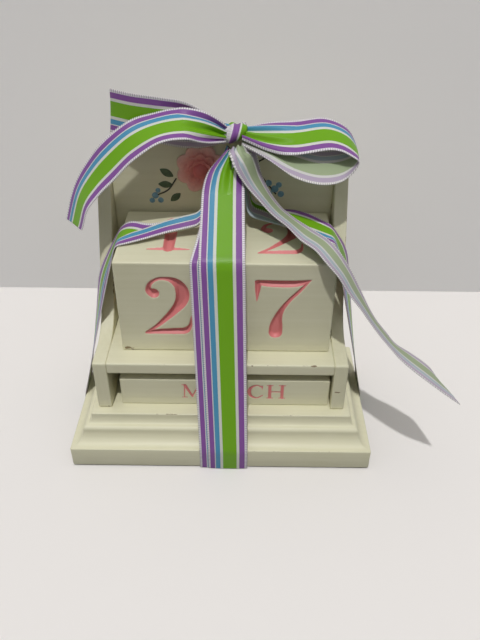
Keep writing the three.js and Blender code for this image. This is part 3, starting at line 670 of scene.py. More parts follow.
# figures as strokes of (right, up, half width) in mm, on a figure about 37 mm high
figures = {
    "1": [[(11.5, 1.5, 3.0), (11.5, 18, 3.3), (11.5, 33, 3.0)],
          [(0.6, 0.9, 0.6), (6, 1.3, 1.2), (11.5, 1.6, 1.7), (17, 1.3, 1.2), (22.4, 0.9, 0.6)],
          [(11, 34, 2.0), (7, 31, 1.2), (2.6, 28.6, 0.5)]],
    "2": [[(7.2, 27.2, 3.0), (4.8, 28.9, 1.9), (5.6, 33.0, 1.2), (9.6, 36.0, 0.95), (14, 36.3, 1.1),
           (18.3, 34.8, 2.1), (21.3, 31.3, 3.1), (22.3, 26.5, 3.7), (21.2, 21.7, 3.3), (17.6, 16.5, 2.4),
           (12.4, 10.7, 1.7), (7, 5.5, 1.1), (1.4, 1.5, 0.7)],
          [(1.2, 1.0, 0.6), (6, 1.9, 1.5), (12, 2.3, 1.9), (18, 2.5, 2.1), (22.8, 3.0, 2.1),
           (25.4, 6.0, 1.2), (26.4, 13.0, 0.25)]],
    "7": [[(0.8, 37.5, 0.8), (4.3, 36.6, 1.8), (12.3, 36.1, 2.1), (20.3, 36.2, 2.1), (25.3, 37, 1.5),
           (29.1, 38.4, 0.4)],
          [(2.0, 36.6, 1.9), (1.7, 32, 1.4), (1.4, 25.0, 0.3)],
          [(27.9, 37.4, 0.6), (23.3, 31.5, 1.0), (18.3, 25.5, 1.15), (14.5, 19.2, 1.6), (12.7, 13.5, 2.6),
           (12.1, 8.6, 3.6), (11.9, 4.6, 3.8)]],
    "3": [[(4, 29.5, 2.3), (6, 34.3, 1.1), (12, 36.3, 1.0), (18.5, 33.5, 2.3), (20, 28.3, 2.7),
           (17, 22.3, 1.8), (10.5, 19.4, 0.9)],
          [(10.5, 19.4, 0.9), (18, 17.3, 1.9), (22, 11.5, 3.0), (20, 5, 2.6), (13, 1.4, 1.2),
           (6.5, 2, 1.1), (3.4, 7, 2.4)]],
    "4": [[(18.5, 35.5, 1.2), (18.5, 18, 2.4), (18.5, 2, 2.4)],
          [(17.5, 35.5, 1.0), (9, 22.5, 0.9), (1.2, 11.5, 0.9)],
          [(1.2, 11.2, 1.1), (13, 11.2, 1.3), (25.5, 11.2, 1.3)],
          [(13.5, 0.9, 0.7), (18.5, 1.2, 1.2), (23.5, 0.9, 0.7)]],
    "5": [[(6, 34.8, 1.2), (13, 34.6, 2.2), (21.5, 35.6, 1.6)],
          [(6, 34.6, 1.0), (5.2, 27, 0.9), (4.6, 20.4, 0.9)],
          [(4.6, 20.2, 0.9), (11, 22.8, 1.4), (18.5, 20.5, 2.4), (22, 13.5, 3.1), (19.5, 5.8, 2.6),
           (12.5, 1.4, 1.3), (6.2, 2, 1.1), (3.4, 6.6, 2.3)]],
    "6": [[(21, 34.2, 1.3), (14, 34, 1.0), (7.5, 27, 2.2), (4.2, 17, 3.0), (5.5, 7, 2.8), (12.5, 1.4, 1.2),
           (19.5, 4.5, 2.2), (22.4, 11.8, 3.0), (19.8, 19, 2.2), (13.5, 21.6, 1.1), (6.5, 17.5, 1.0)]],
}
# oval figures: middle, half width and half height of the line, half width of the stroke at the sides and ends
ovals = {"0": [((12.0, 18.2), (9.0, 16.8), 3.1, 1.1)],
         "8": [((12.5, 27.4), (7.0, 7.8), 2.3, 1.1), ((12.5, 10.2), (8.6, 8.8), 2.8, 1.2)]}
around = np.linspace(0, 2 * math.pi, 17)
for figure, rounds in ovals.items():
    figures[figure] = [np.column_stack([c[0] + r[0] * np.cos(around), c[1] + r[1] * np.sin(around),
                                        thin + (thick - thin) * np.cos(around) ** 2]).tolist()
                       for c, r, thick, thin in rounds]
# capitals about 10 mm high
capitals = {
    "M": [[(1.6, 0.3, 0.28), (2.0, 9.6, 0.32)], [(2.2, 9.4, 0.72), (6.1, 1.1, 0.6)],
          [(6.1, 1.1, 0.32), (10.0, 9.5, 0.36)], [(10.3, 0.5, 0.78), (10.3, 9.5, 0.78)],
          [(0.2, 0.25, 0.22), (3.2, 0.25, 0.22)], [(8.7, 0.25, 0.25), (12.0, 0.25, 0.25)],
          [(0.4, 9.75, 0.22), (2.4, 9.75, 0.25)], [(9.9, 9.75, 0.25), (12.0, 9.75, 0.22)]],
    "A": [[(1.6, 0.4, 0.3), (5.2, 9.8, 0.35)], [(5.3, 9.7, 0.6), (9.0, 0.5, 0.78)],
          [(2.9, 3.4, 0.3), (7.7, 3.4, 0.3)],
          [(0.2, 0.25, 0.22), (3.0, 0.25, 0.22)], [(7.2, 0.25, 0.25), (10.6, 0.25, 0.25)]],
    "R": [[(2.0, 0.5, 0.78), (2.0, 9.4, 0.78)],
          [(2.0, 9.6, 0.35), (5.6, 9.5, 0.5), (7.6, 7.4, 0.85), (5.6, 5.2, 0.5), (2.0, 5.1, 0.32)],
          [(5.0, 5.0, 0.5), (8.9, 0.5, 0.75)], [(0.3, 0.25, 0.25), (3.8, 0.25, 0.25)],
          [(8.2, 0.25, 0.3), (10.2, 0.25, 0.25)], [(0.3, 9.75, 0.25), (2.6, 9.75, 0.25)]],
    "C": [[(8.6, 6.9, 0.25), (8.5, 9.3, 0.35)],
          [(8.3, 8.6, 0.4), (5.4, 9.8, 0.35), (2.2, 8.0, 0.75), (1.2, 5.0, 0.95), (2.2, 1.9, 0.75),
           (5.4, 0.2, 0.35), (8.8, 2.2, 0.3)]],
    "H": [[(2.0, 0.5, 0.78), (2.0, 9.4, 0.78)], [(9.0, 0.5, 0.78), (9.0, 9.4, 0.78)],
          [(2.0, 5.0, 0.32), (9.0, 5.0, 0.32)],
          [(0.3, 0.25, 0.25), (3.8, 0.25, 0.25)], [(7.2, 0.25, 0.25), (10.8, 0.25, 0.25)],
          [(0.3, 9.75, 0.25), (3.8, 9.75, 0.25)], [(7.2, 9.75, 0.25), (10.8, 9.75, 0.25)]],
}


def insideStrokes(u, v, strokes):
    # half width of the nearest stroke less the distance to its middle line: above 0 is inside
    best = np.full(u.shape, -9.0)
    for stroke in strokes:
        table = np.array([(x, y, 0.0, r) for x, y, r in stroke])
        line = smoothLine(table, 6) if len(stroke) > 2 else table
        for a, b in zip(line[:-1], line[1:]):
            du, dv = b[0] - a[0], b[1] - a[1]
            t = np.clip(((u - a[0]) * du + (v - a[1]) * dv) / (du * du + dv * dv + 1e-9), 0, 1)
            gap = np.hypot(u - a[0] - t * du, v - a[1] - t * dv)
            best = np.maximum(best, a[3] + t * (b[3] - a[3]) - gap)
    return best


# each face: outward axis and sign, then the axes and signs of right and up as seen from outside
blockFaces = {"front": (1, -1, 0, 1, 2, 1), "back": (1, 1, 0, -1, 2, 1), "right": (0, 1, 1, 1, 2, 1),
              "left": (0, -1, 1, -1, 2, 1), "top": (2, 1, 0, 1, 1, 1), "bottom": (2, -1, 0, 1, 1, -1)}


wearReach = 1.6  # mm from an edge at which its wear has faded out


def easedBlock(low, high, radius, pitches, carvings, groove):
    # box point q, core point c = q held to the core box: the skin is c + radius (q - c) / |q - c|,
    # and a carved face sinks by min(groove depth, slope times the distance inside a stroke)
    middle, half = (low + high) / 2, (high - low) / 2
    rim = np.tan(np.radians([15, 30, 45])) * radius
    samples = []
    for axis in range(3):
        core = half[axis] - radius
        inner = np.linspace(-core, core, max(int(round(2 * core / pitches[axis])), 1) + 1)
        samples.append(np.concatenate([-(core + rim)[::-1], inner, core + rim]))
    allPoints, allQuads, carve, start = [], [], [], 0
    for face, (axis, sign, uAxis, uSign, vAxis, vSign) in blockFaces.items():
        u, v = np.meshgrid(samples[uAxis], samples[vAxis])
        q = np.zeros(u.shape + (3,))
        q[..., uAxis], q[..., vAxis], q[..., axis] = u * uSign, v * vSign, sign * half[axis]
        core = np.clip(q, -(half - radius), half - radius)
        away = q - core
        p = core + radius * unit(away)
        inside = np.full(u.shape, -1.0)
        if face in carvings:
            strokes, shiftU, shiftV, scale = carvings[face]
            inside = insideStrokes((u - shiftU) / scale, (v - shiftV) / scale, strokes)
            inside = np.clip(inside * scale, -1, 4)
            p[..., axis] -= sign * np.minimum(groove[0], groove[1] * np.maximum(inside, 0))
        allPoints.append(p.reshape(-1, 3) + middle)
        allQuads.append(gridQuads(*u.shape) + start)
        carve.append(inside.ravel())
        start += u.size
    points, quads, carve = np.concatenate(allPoints), np.concatenate(allQuads), np.concatenate(carve)
    _, first, inverse = np.unique(np.round(points, 4), axis=0, return_index=True, return_inverse=True)
    points, quads, carve = points[first], inverse.ravel()[quads], carve[first]
    reach = np.sort(np.abs(points - middle) - half, axis=1)[:, 1]  # how near the second axis is to its edge
    return points, quads, carve, np.clip(1 + reach / wearReach, 0, 1)


cubePlan = {"radius": 0.95, "pitch": 0.52, "groove": (2.0, 1.1)}
# figure, shift right and up of its lower left corner from the face's middle, scale
cubeFigures = {
    "left": {"front": ("2", -15.6, -17.3, 1.0), "top": ("1", -12.6, -15.4, 1.0),
             "back": ("4", -12.5, -18, 1.0), "right": ("0", -12, -18, 1.0),
             "left": ("5", -12.5, -18, 1.0), "bottom": ("3", -12.5, -18, 1.0)},
    "right": {"front": ("7", -13.6, -19.6, 1.0), "top": ("2", -12.8, -18.6, 0.93),
              "back": ("0", -12, -18, 1.0), "right": ("6", -12.5, -18, 1.0),
              "left": ("1", -11.5, -18, 1.0), "bottom": ("8", -12.5, -18, 1.0)},
}
barPlan = {"radius": 0.9, "pitch": 0.42, "plainPitch": 4.0, "depthPitch": 3.0, "groove": (0.45, 0.9)}
# month name on the front bar: capital and the x of its left side, with the foot of the row; bolder is the
# factor and the width in mm that the half widths of its strokes gain
monthRow = {"foot": 36.0, "letters": [("M", -22.4), ("A", -9.2), ("R", 2.6), ("C", 14.8), ("H", 25.7)],
            "bolder": (1.15, 0.07)}


def blockPiece(name, node, body, plan, pitches, carvings):
    points, quads, carve, edge = easedBlock(*nodeBox(node), plan["radius"], pitches, carvings, plan["groove"])
    meshPiece(name, points, [quads], [blockPaint], body, "painted_wood", [node],
              values={"edge": edge, "carve": carve})


def makeCubes():
    for label, faces in cubeFigures.items():
        carvings = {face: (figures[f], u, v, scale) for face, (f, u, v, scale) in faces.items()}
        blockPiece("dateCube_" + label, "date_cube_" + label, "cube_" + label, cubePlan,
                   [cubePlan["pitch"]] * 3, carvings)


def makeBars():
    for label in ("front", "middle", "rear"):
        carvings, pitches = {}, [barPlan["plainPitch"]] * 3
        if label == "front":
            middle = sum(nodeBox("month_bar_front")) / 2
            wider, extra = monthRow["bolder"]
            strokes = [[(x + left - middle[0], z + monthRow["foot"] - middle[2], wider * r + extra)
                        for x, z, r in stroke]
                       for letter, left in monthRow["letters"] for stroke in capitals[letter]]
            carvings = {"front": (strokes, 0.0, 0.0, 1.0)}
            pitches = [barPlan["pitch"], barPlan["depthPitch"], barPlan["pitch"]]
        blockPiece("monthBar_" + label, "month_bar_" + label, "bar_" + label, barPlan, pitches, carvings)


makeCubes()
makeBars()
print("date cubes and month bars made")


def roundedRoute(stations):
    # straight runs between stations, with a parabola over the last `cut` mm before and after each one
    table = np.asarray(stations, dtype=float)
    rows, cuts = table[:, :-1], table[:, -1]
    route = [rows[:1]]
    t = np.linspace(0, 1, 14)[:, None]
    for i in range(1, len(rows) - 1):
        back, ahead = rows[i - 1] - rows[i], rows[i + 1] - rows[i]
        backShare = min(cuts[i] / np.linalg.norm(back[:3]), 0.5)
        aheadShare = min(cuts[i] / np.linalg.norm(ahead[:3]), 0.5)
        route.append((1 - t) ** 2 * (rows[i] + back * backShare) + 2 * t * (1 - t) * rows[i]
                     + t ** 2 * (rows[i] + ahead * aheadShare))
    route.append(rows[-1:])
    return np.concatenate(route)


def evenRows(route):
    # the route's rows at even steps of a quarter picot, with the distance along, and the unit directions
    # across, along, and off the cloth (along x across)
    along = np.concatenate([[0], np.cumsum(np.linalg.norm(np.diff(route[:, :3], axis=0), axis=1))])
    keep = np.concatenate([[True], np.diff(along) > 1e-6])
    along = along[keep]
    steps = max(int(round(along[-1] / (ribbonPlan["picotPitch"] / 4))), 12)
    place = np.linspace(0, along[-1], steps + 1)
    line = np.column_stack([np.interp(place, along, column) for column in route[keep].T])
    across, tangent = line[:, 3:6], np.gradient(line[:, :3], axis=0)
    picot = ribbonPlan["picotDepth"] * np.cos(2 * math.pi * place / ribbonPlan["picotPitch"])
    return line, place, picot, unit(across), unit(tangent), unit(np.cross(tangent, across))


def ribbonSurface(route, cup, cutEnd):
    # p = middle + across (width / 2) v share + normal (pleat + cup); a strip narrowed to a share s keeps
    # its cloth in n cosine pleats of height (s w / pi n) sqrt(1 / s - 1); cutEnd slants the last edge
    width, pleats, slantLength = (ribbonPlan[k] for k in ("width", "pleats", "slantLength"))
    line, place, picot, across, tangent, normal = evenRows(route)
    share = line[:, 6:7]
    v = np.concatenate([[-1.0, -0.965], np.linspace(-0.93, 0.93, 25), [0.965, 1.0]])
    narrow = np.clip(share, ribbonPlan["narrowest"], 1.0)
    height = narrow * width / (math.pi * pleats) * np.sqrt(1 / narrow - 1)
    height = np.minimum(height, ribbonPlan["pleatHeight"])
    reach = share * width / 2 * v + np.where(np.abs(v) > 0.99, np.sign(v) * picot[:, None], 0.0)
    lift = height * np.cos(math.pi * pleats * v + ribbonPlan["pleatPhase"]) - cup * share * (v ** 2 - 0.33)
    slant = cutEnd * v * np.clip((place[:, None] - place[-1]) / slantLength + 1, 0, 1)
    points = (line[:, None, :3] + across[:, None] * reach[..., None] + normal[:, None] * lift[..., None]
              + tangent[:, None] * slant[..., None])
    return points, v, place


def lappedSurface(route, turns, lifts):
    # a strip folded lengthwise in three layers, cut at the shares c1 and c2 of its width: each layer runs on
    # from where the last one stopped, across (+1) or back (-1), y(u) = y(c) + turn (u - c), and is lifted off
    # the next one, in full where at least lapShare of the width is turned back
    width = ribbonPlan["width"]
    line, place, picot, across, _, normal = evenRows(route)
    cuts = np.column_stack([np.zeros(len(line)), line[:, 6:8], np.ones(len(line))])
    turned = sum(cuts[:, k + 1] - cuts[:, k] for k in range(3) if turns[k] < 0)
    apart = np.clip(turned / ribbonPlan["lapShare"], 0, 1)[:, None]
    t = np.linspace(0, 1, 12)[None, :]
    start, shares, reaches, heights = np.zeros((len(line), 1)), [], [], []
    for k in range(3):
        size = (cuts[:, k + 1] - cuts[:, k])[:, None]
        shares.append(cuts[:, k:k + 1] + size * t)
        reaches.append(start + turns[k] * size * t)
        heights.append(lifts[k] * apart * np.ones_like(t))
        start = reaches[-1][:, -1:]
    u, y, lift = (np.concatenate(part, axis=1) for part in (shares, reaches, heights))
    y -= y[:, [0, 12, 24]].min(axis=1)[:, None]
    y[:, 0] -= turns[0] * picot / width
    y[:, -1] += turns[2] * picot / width
    points = line[:, None, :3] + across[:, None] * (y * width)[..., None] + normal[:, None] * lift[..., None]
    return points, u, place


def ribbonPiece(name, route, body, nodes, rightSide, blueEdge, cup=0.35, cutEnd=0.0, laps=None):
    # rightSide and blueEdge: +1 or -1, the side of the normal that is printed, the edge with the blue stripe
    if laps:
        points, u, place = lappedSurface(route, *laps)
    else:
        points, v, place = ribbonSurface(route, cup, cutEnd)
        u = 0.5 - 0.5 * blueEdge * v
    quads = gridQuads(*points.shape[:2])
    if rightSide > 0:
        quads = quads[:, ::-1]
    uv = gridPoints(u, place[:, None] / ribbonPlan["width"]).reshape(-1, 2)
    piece = meshPiece(name, points.reshape(-1, 3), [quads], [ribbonRight, ribbonWrong], body, "satin_ribbon",
                      nodes, cornerUv=uv)
    shell = piece.modifiers.new("clothThickness", "SOLIDIFY")
    shell.thickness = ribbonPlan["thickness"] * mm
    shell.offset = 0.0
    shell.material_offset = 1
    return piece, place[-1]


# size is the half size of the barrel, wrapRadius the radius that the wrap's length is measured round, and
# bandStart and crossStart say where the bands set off from the knot's middle
knotCentre = np.array([7.5, 33.6, 167.5])
knotPlan = {"size": (7.6, 5.6, 4.6), "lean": 0.32, "tilt": 0.18, "shift": (-1.8, 0.0, 0.8),
            "power": 2.4, "ridge": 0.07, "ridges": 11, "wrapRadius": 6.2,
            "bandStart": (-1.44, -4.2, -6.5), "crossStart": (2.5, -3.3, -6.5),
            "stripes": [(0.0, 1.0), (0.44, 0.938), (0.68, 0.8), (0.75, 0.72), (1.0, 0.5)]}
# bow: x, y, z as shares of the reach from the knot's middle, direction across, share of the width
bowPlan = {
    "loop_left": {"reach": 66.0, "rightSide": -1, "blueEdge": -1, "stations": [
        (-0.11, -0.03, 0.03, 0, 0.1, 1, 0.4), (-0.25, -0.025, 0.08, -0.1, 0.15, 1, 0.7),
        (-0.42, -0.05, 0.124, 0.1, 0.1, 1, 0.92), (-0.61, -0.072, 0.151, 0.1, 0, 1, 1),
        (-0.81, -0.072, 0.176, 0.1, 0, 1, 1), (-0.98, 0.0, 0.186, 0.1, 0, 1, 1),
        (-0.84, 0.065, 0.118, 0.1, 0, 1, 1), (-0.61, 0.072, 0.06, 0.1, 0, 1, 1),
        (-0.39, 0.06, 0.03, 0.1, 0, 1, 1), (-0.22, 0.045, 0.01, 0.1, 0, 1, 0.8),
        (-0.09, 0.035, 0.0, 0, 0, 1, 0.45)]},
    "loop_right": {"reach": 64.0, "rightSide": 1, "blueEdge": 1, "stations": [
        (0.05, -0.02, 0.03, 0, 0.9, 0.4, 0.4), (0.25, -0.065, 0.02, -0.1, 0.8, 0.55, 0.8),
        (0.48, -0.09, 0.02, 0.1, 0.85, 0.52, 1), (0.76, -0.1, 0.055, -0.1, 0.9, 0.43, 1),
        (0.92, -0.125, -0.005, 0, 0.95, 0.3, 1), (0.99, -0.15, -0.10, 0.05, 0.98, 0.05, 1),
        (0.9, -0.19, -0.16, 0.1, 0.9, 0.42, 1), (0.695, -0.225, -0.18, 0, 0.87, 0.5, 1),
        (0.476, -0.175, -0.145, 0.05, 0.88, 0.46, 1), (0.25, -0.1, -0.085, 0.05, 0.95, 0.3, 0.7),
        (0.05, -0.03, -0.05, 0, 0.95, 0.1, 0.4)]},
    "tail_left": {"reach": 90.5, "rightSide": -1, "blueEdge": 1, "cutEnd": -1.8, "stations": [
        (-0.059, -0.053, 0.024, 0.1, 0.3, 0.95, 0.35), (-0.13, -0.09, 0.06, 0, 0.5, 0.85, 0.6),
        (-0.216, -0.13, 0.095, -0.15, 0.75, 0.6, 0.85), (-0.303, -0.161, 0.119, -0.25, 0.88, 0.41, 1),
        (-0.442, -0.171, 0.096, -0.26, 0.89, 0.37, 1), (-0.582, -0.185, 0.03, -0.19, 0.75, 0.63, 1),
        (-0.723, -0.194, -0.089, -0.31, 0.68, 0.67, 1), (-0.818, -0.195, -0.189, -0.33, 0.76, 0.56, 1),
        (-0.901, -0.204, -0.305, -0.45, 0.85, 0.27, 1), (-0.96, -0.233, -0.47, -0.61, 0.75, -0.24, 1)]},
    "tail_right": {"reach": 111.0, "rightSide": -1, "blueEdge": -1, "cutEnd": -2.0, "stations": [
        (0.012, -0.062, -0.03, 0.9, 0.3, 0.2, 0.35), (0.022, -0.09, -0.05, 0.6, 0.74, -0.2, 0.75),
        (0.047, -0.108, -0.078, 0.49, 0.87, 0.04, 1), (0.091, -0.118, -0.176, 0.37, 0.92, -0.1, 1),
        (0.139, -0.152, -0.238, 0.29, 0.93, -0.21, 1), (0.199, -0.191, -0.296, 0.24, 0.94, -0.24, 1),
        (0.263, -0.24, -0.329, 0.23, 0.94, -0.25, 1), (0.333, -0.31, -0.356, 0.32, 0.93, -0.19, 1),
        (0.397, -0.384, -0.366, 0.37, 0.91, -0.2, 1), (0.426, -0.426, -0.378, 0.4, 0.89, -0.2, 1),
        (0.453, -0.455, -0.4, 0.43, 0.87, -0.23, 1), (0.506, -0.484, -0.464, 0.41, 0.85, -0.32, 1),
        (0.556, -0.5, -0.546, 0.41, 0.83, -0.39, 1), (0.615, -0.511, -0.637, 0.35, 0.8, -0.48, 1),
        (0.658, -0.522, -0.7, 0.34, 0.79, -0.51, 1), (0.708, -0.539, -0.76, 0.34, 0.8, -0.49, 1),
        (0.759, -0.566, -0.812, 0.35, 0.79, -0.5, 1), (0.826, -0.61, -0.85, 0.42, 0.81, -0.4, 1),
        (0.922, -0.681, -0.893, 0.24, 0.93, -0.29, 1), (1.018, -0.713, -0.969, -0.14, 0.96, -0.22, 1)]},
}


def makeBow():
    made = {}
    for label, plan in bowPlan.items():
        table = np.array(plan["stations"], dtype=float)
        table[:, :3] = knotCentre + table[:, :3] * plan["reach"]
        made[label] = ribbonPiece("bow_" + label, smoothLine(table, 24), "tied_ribbon", ["ribbon_" + label],
                                  plan["rightSide"], plan["blueEdge"], cutEnd=plan.get("cutEnd", 0.0))
    return made


def makeKnot():
    # barrel round the x axis: x = a u, radius (1 - |u| ^ n) ^ (1 / n) for the power n, with ridges round it;
    # x leans with z and z tilts with x
    p = knotPlan
    u = np.sin(np.linspace(-math.pi / 2, math.pi / 2, 81))[1:-1]
    turn = fullTurn(120)
    uu, tt = np.meshgrid(u, turn, indexing="ij")
    barrel = (1 - np.abs(uu) ** p["power"]) ** (1 / p["power"])
    barrel = barrel * (1 + p["ridge"] * np.cos(p["ridges"] * uu + 1.2 * np.sin(tt) + 0.4) * (1 - uu ** 4))
    z = p["size"][2] * barrel * np.sin(tt)
    x = p["size"][0] * uu + p["lean"] * z
    rings = np.stack([x, -p["size"][1] * barrel * np.cos(tt), z + p["tilt"] * x], -1)
    points, faces = closedSkin(rings + knotCentre + np.array(p["shift"]))
    faces = [group[:, ::-1] for group in faces]
    # the wrap shows its edge, a purple stripe, a thin white one and part of the green
    share = np.interp((uu + 1) / 2, *zip(*p["stripes"]))
    uv = np.stack([share, tt * p["wrapRadius"] / ribbonPlan["width"]], -1).reshape(-1, 2)
    uv = np.vstack([uv, [[0.98, 0.5], [0.42, 0.5]]])
    return meshPiece("tiedKnot", points, faces, [ribbonRight], "tied_ribbon", "satin_ribbon",
                     ["ribbon_knot"], cornerUv=uv)


# in mm; pairs are for the left and the right of the length across. snug is how much nearer than the solids'
# gap the bands lie, outerBend the share of the width and the bend of the outer band over the cubes' edge
bandPlan = {"clear": 0.7, "snug": 0.22, "layer": 1.2, "drift": 3.0, "innerShift": 5.4, "innerDrift": 3.6,
            "offset": 1.2, "backOffset": 2.0, "backStart": 40.6, "lean": (5.0, 2.0), "crossNear": (-2.0, 1.0),
            "crossFront": (1.5, 0.0), "slabTop": 14.0, "foldCut": 2.6, "edgeCut": 0.5, "bendCut": 8.0,
            "outerBend": (1.07, 5.5), "foot": 0.3, "tuck": 0.4, "leftPleat": 0.34}


def alongRun(start, end, shares):
    return np.array(start) + (np.array(end) - np.array(start)) * np.array(shares)


def frontRoute(x, drift, lift, spread):
    # rows of place, direction across, share of the width and cut: knot, cubes' edge, base's edge and foot
    p = bandPlan
    cubeLow, cubeHigh = nodeBox("date_cube_left")
    baseFront = nodeBox("base_plinth")[0][1]
    clear = p["clear"] - p["snug"] + lift
    head = knotCentre + np.array(knotPlan["bandStart"]) + np.array([0, -lift, lift - p["layer"]])
    over = np.array([x, cubeLow[1] - clear, cubeHigh[2] + clear])
    rows = [[*alongRun(head, over, [sideways, share, share]), 1, 0, 0, width, 6.0]
            for share, width, sideways in spread]
    rows.append([*over, 1, 0, 0, *(p["outerBend"] if lift else (1, p["foldCut"]))])
    front = baseFront - clear + lift * 0.5
    for y, z, cut in ((front, p["slabTop"] - p["tuck"], p["foldCut"]), (front, p["foot"], p["edgeCut"]),
                      (baseFront + p["tuck"], p["foot"], p["edgeCut"])):
        rows.append([x + drift, y, z, 1, 0, 0, 1, cut])
    return roundedRoute(rows)


def slopeHeightAt(y):
    panelTop = nodeBox("side_panel_left")[1][2]
    return panelTop - (nodeBox("back_board")[0][1] - y) * math.tan(math.radians(sidePlan["slope"]))


def crossRoute(side, drop):
    # the line of the near edge, with the direction across and the two cuts of the lap
    p, end = bandPlan, 0 if side < 0 else 1
    label = ("left", "right")[end]
    lean, near = p["lean"][end], p["crossNear"][end]
    far = near + ribbonPlan["width"]
    cubeLow, cubeHigh = nodeBox("date_cube_" + label)
    cubeEdge = (cubeLow, cubeHigh)[end][0]
    baseSide = nodeBox("base_plinth")[1][0]
    panelEdge = side * (nodeBox("side_panel_right")[1][0] + p["clear"])
    start = knotCentre + np.array(knotPlan["crossStart"]) * [side, 1, 1] - [0, 0, p["clear"]]
    corner = np.array([cubeEdge + side * p["clear"], near - p["crossFront"][end], cubeHigh[2] + p["clear"]])
    rows = [[*alongRun(start, corner, (x, y, z)), side * ax, ay, az, c1, c2, 4.0]
            for x, y, z, ax, ay, az, c1, c2 in drop]

    def cuts(share):
        hidden = max(1 - share, 0.012)
        return (p["leftPleat"], p["leftPleat"] + hidden / 2) if side < 0 else (0.006, 1 - hidden)

    rows.append([*corner, 0, 1, 0, *cuts(1), p["foldCut"]])
    slabEdge = side * (baseSide + p["clear"] - p["snug"])
    slabTop = p["slabTop"]

    def straightX(z):
        return corner[0] + (slabEdge - corner[0]) * (corner[2] - z) / (corner[2] - slabTop)

    def edgeRow(nearEdge, farEdge):
        across = np.array(farEdge) - np.array(nearEdge)
        reach = np.linalg.norm(across)
        return [*nearEdge, *across / reach, *cuts(reach / ribbonPlan["width"]), p["bendCut"]]

    overSlope = slopeHeightAt(far - lean) + 2 * p["clear"]
    rows.append(edgeRow([straightX(overSlope), near, overSlope], [panelEdge, far - lean, overSlope]))
    coveTurn = 1 - math.cos(math.radians(sidePlan["slope"]) / 2)
    overCove = nodeBox("shelf_board")[1][2] + p["clear"] + sidePlan["coveRadius"] * coveTurn
    farX = panelEdge + (slabEdge - panelEdge) * (overSlope - overCove) / (overSlope - slabTop)
    nearX = side * max(abs(straightX(overCove)), abs(panelEdge))
    rows.append(edgeRow([nearX, near, overCove], [farX, far - lean / 2, overCove]))
    for x, z, cut in ((slabEdge, slabTop - p["tuck"], p["foldCut"]), (slabEdge, p["foot"], p["edgeCut"]),
                      (side * (baseSide - p["tuck"]), p["foot"], p["edgeCut"])):
        rows.append([x, near, z, 0, 1, 0, *cuts(1), cut])
    return roundedRoute(rows)


# x, y, z shares of the run from the knot to the cube's edge, direction across, the two cuts of the lap;
# the left band hides its middle in a pleat, the right one turns its near edge over and tucks its far one
crossDrops = {
    -1: [(0, 0, 0, 0.3, 1, 0, 0.34, 0.69), (0.066, 0.09, 0.25, 0.1, 0.9, 0.4, 0.34, 0.69),
         (0.157, 0.328, 0.59, 0.05, 0.8, 0.6, 0.34, 0.69), (0.27, 0.63, 0.851, 0.04, 0.75, 0.65, 0.34, 0.68),
         (0.426, 0.685, 0.89, 0.04, 0.75, 0.65, 0.34, 0.68),
         (0.583, 0.738, 0.93, 0.04, 0.85, 0.52, 0.34, 0.67),
         (0.736, 0.85, 0.963, 0.04, 0.95, 0.36, 0.34, 0.59),
         (0.869, 0.94, 0.987, 0.04, 0.96, 0.3, 0.34, 0.44)],
    1: [(0, 0, 0, 0.3, 1, 0, 0.3, 0.8), (0.02, 0.2, 0.355, 0.2, 0.9, 0.4, 0.3, 0.8),
        (0.083, 0.5, 0.786, 0.2, 0.92, 0.36, 0.3, 0.8), (0.223, 0.52, 0.838, 0.2, 0.92, 0.36, 0.3, 0.8),
        (0.373, 0.524, 0.89, 0.1, 0.97, 0.18, 0.26, 0.82), (0.533, 0.597, 0.93, 0.1, 0.97, 0.16, 0.12, 0.9),
        (0.75, 0.777, 0.974, 0.05, 0.99, 0.11, 0.01, 0.985)],
}
crossLaps = {-1: ((1, -1, 1), (-0.5, 0.0, 0.5)), 1: ((-1, 1, -1), (0.6, 0.0, -0.5))}
# share of the run, share of the width, share of the sideways run
frontSpreads = {"outer": [(0, 0.36, 0), (0.1, 0.66, 0.4), (0.2, 0.88, 0.8), (0.36, 1.0, 1)],
                "inner": [(0.12, 0.45, 0.3), (0.3, 0.72, 0.42), (0.5, 0.9, 0.45), (0.74, 1, 0.6)]}


def makeBands():
    p, made = bandPlan, {}
    fronts = {"Outer": (p["offset"], p["drift"], p["layer"], 0.35),
              "Inner": (p["offset"] - p["innerShift"], p["innerDrift"], 0, 0.2)}
    for label, (x, drift, lift, cup) in fronts.items():
        small = label.lower()
        route = frontRoute(x, drift, lift, frontSpreads[small])
        made["front_" + small] = ribbonPiece("band_front" + label, route, "tied_ribbon",
                                             ["ribbon_front_" + small], 1, -1, cup=cup)
    for side, label in ((-1, "left"), (1, "right")):
        route = crossRoute(side, crossDrops[side])
        made["cross_" + label] = ribbonPiece("band_cross_" + label, route, "tied_ribbon",
                                             ["ribbon_cross_" + label], side, -1, laps=crossLaps[side])
    baseBack = nodeBox("base_plinth")[1][1]
    crown, behind = nodeBox("back_board")[1][2] + p["clear"], baseBack + p["clear"]
    shoulder = nodeBox("side_panel_left")[1][2]
    x = p["backOffset"]
    rows = [[knotCentre[0], p["backStart"], crown, 1, 0, 0, 0.5, 1.0],
            [x, behind, crown, 1, 0, 0, 0.9, 1.8], [x, behind, shoulder, 1, 0, 0, 1, 6.0],
            [x, behind, p["foot"], 1, 0, 0, 1, p["edgeCut"]],
            [x, baseBack - p["tuck"], p["foot"], 1, 0, 0, 1, p["edgeCut"]]]
    made["back_band"] = ribbonPiece("band_back", roundedRoute(rows), "back_ribbon", ["ribbon_back_band"],
                                    -1, -1, cup=0.2)
    return made


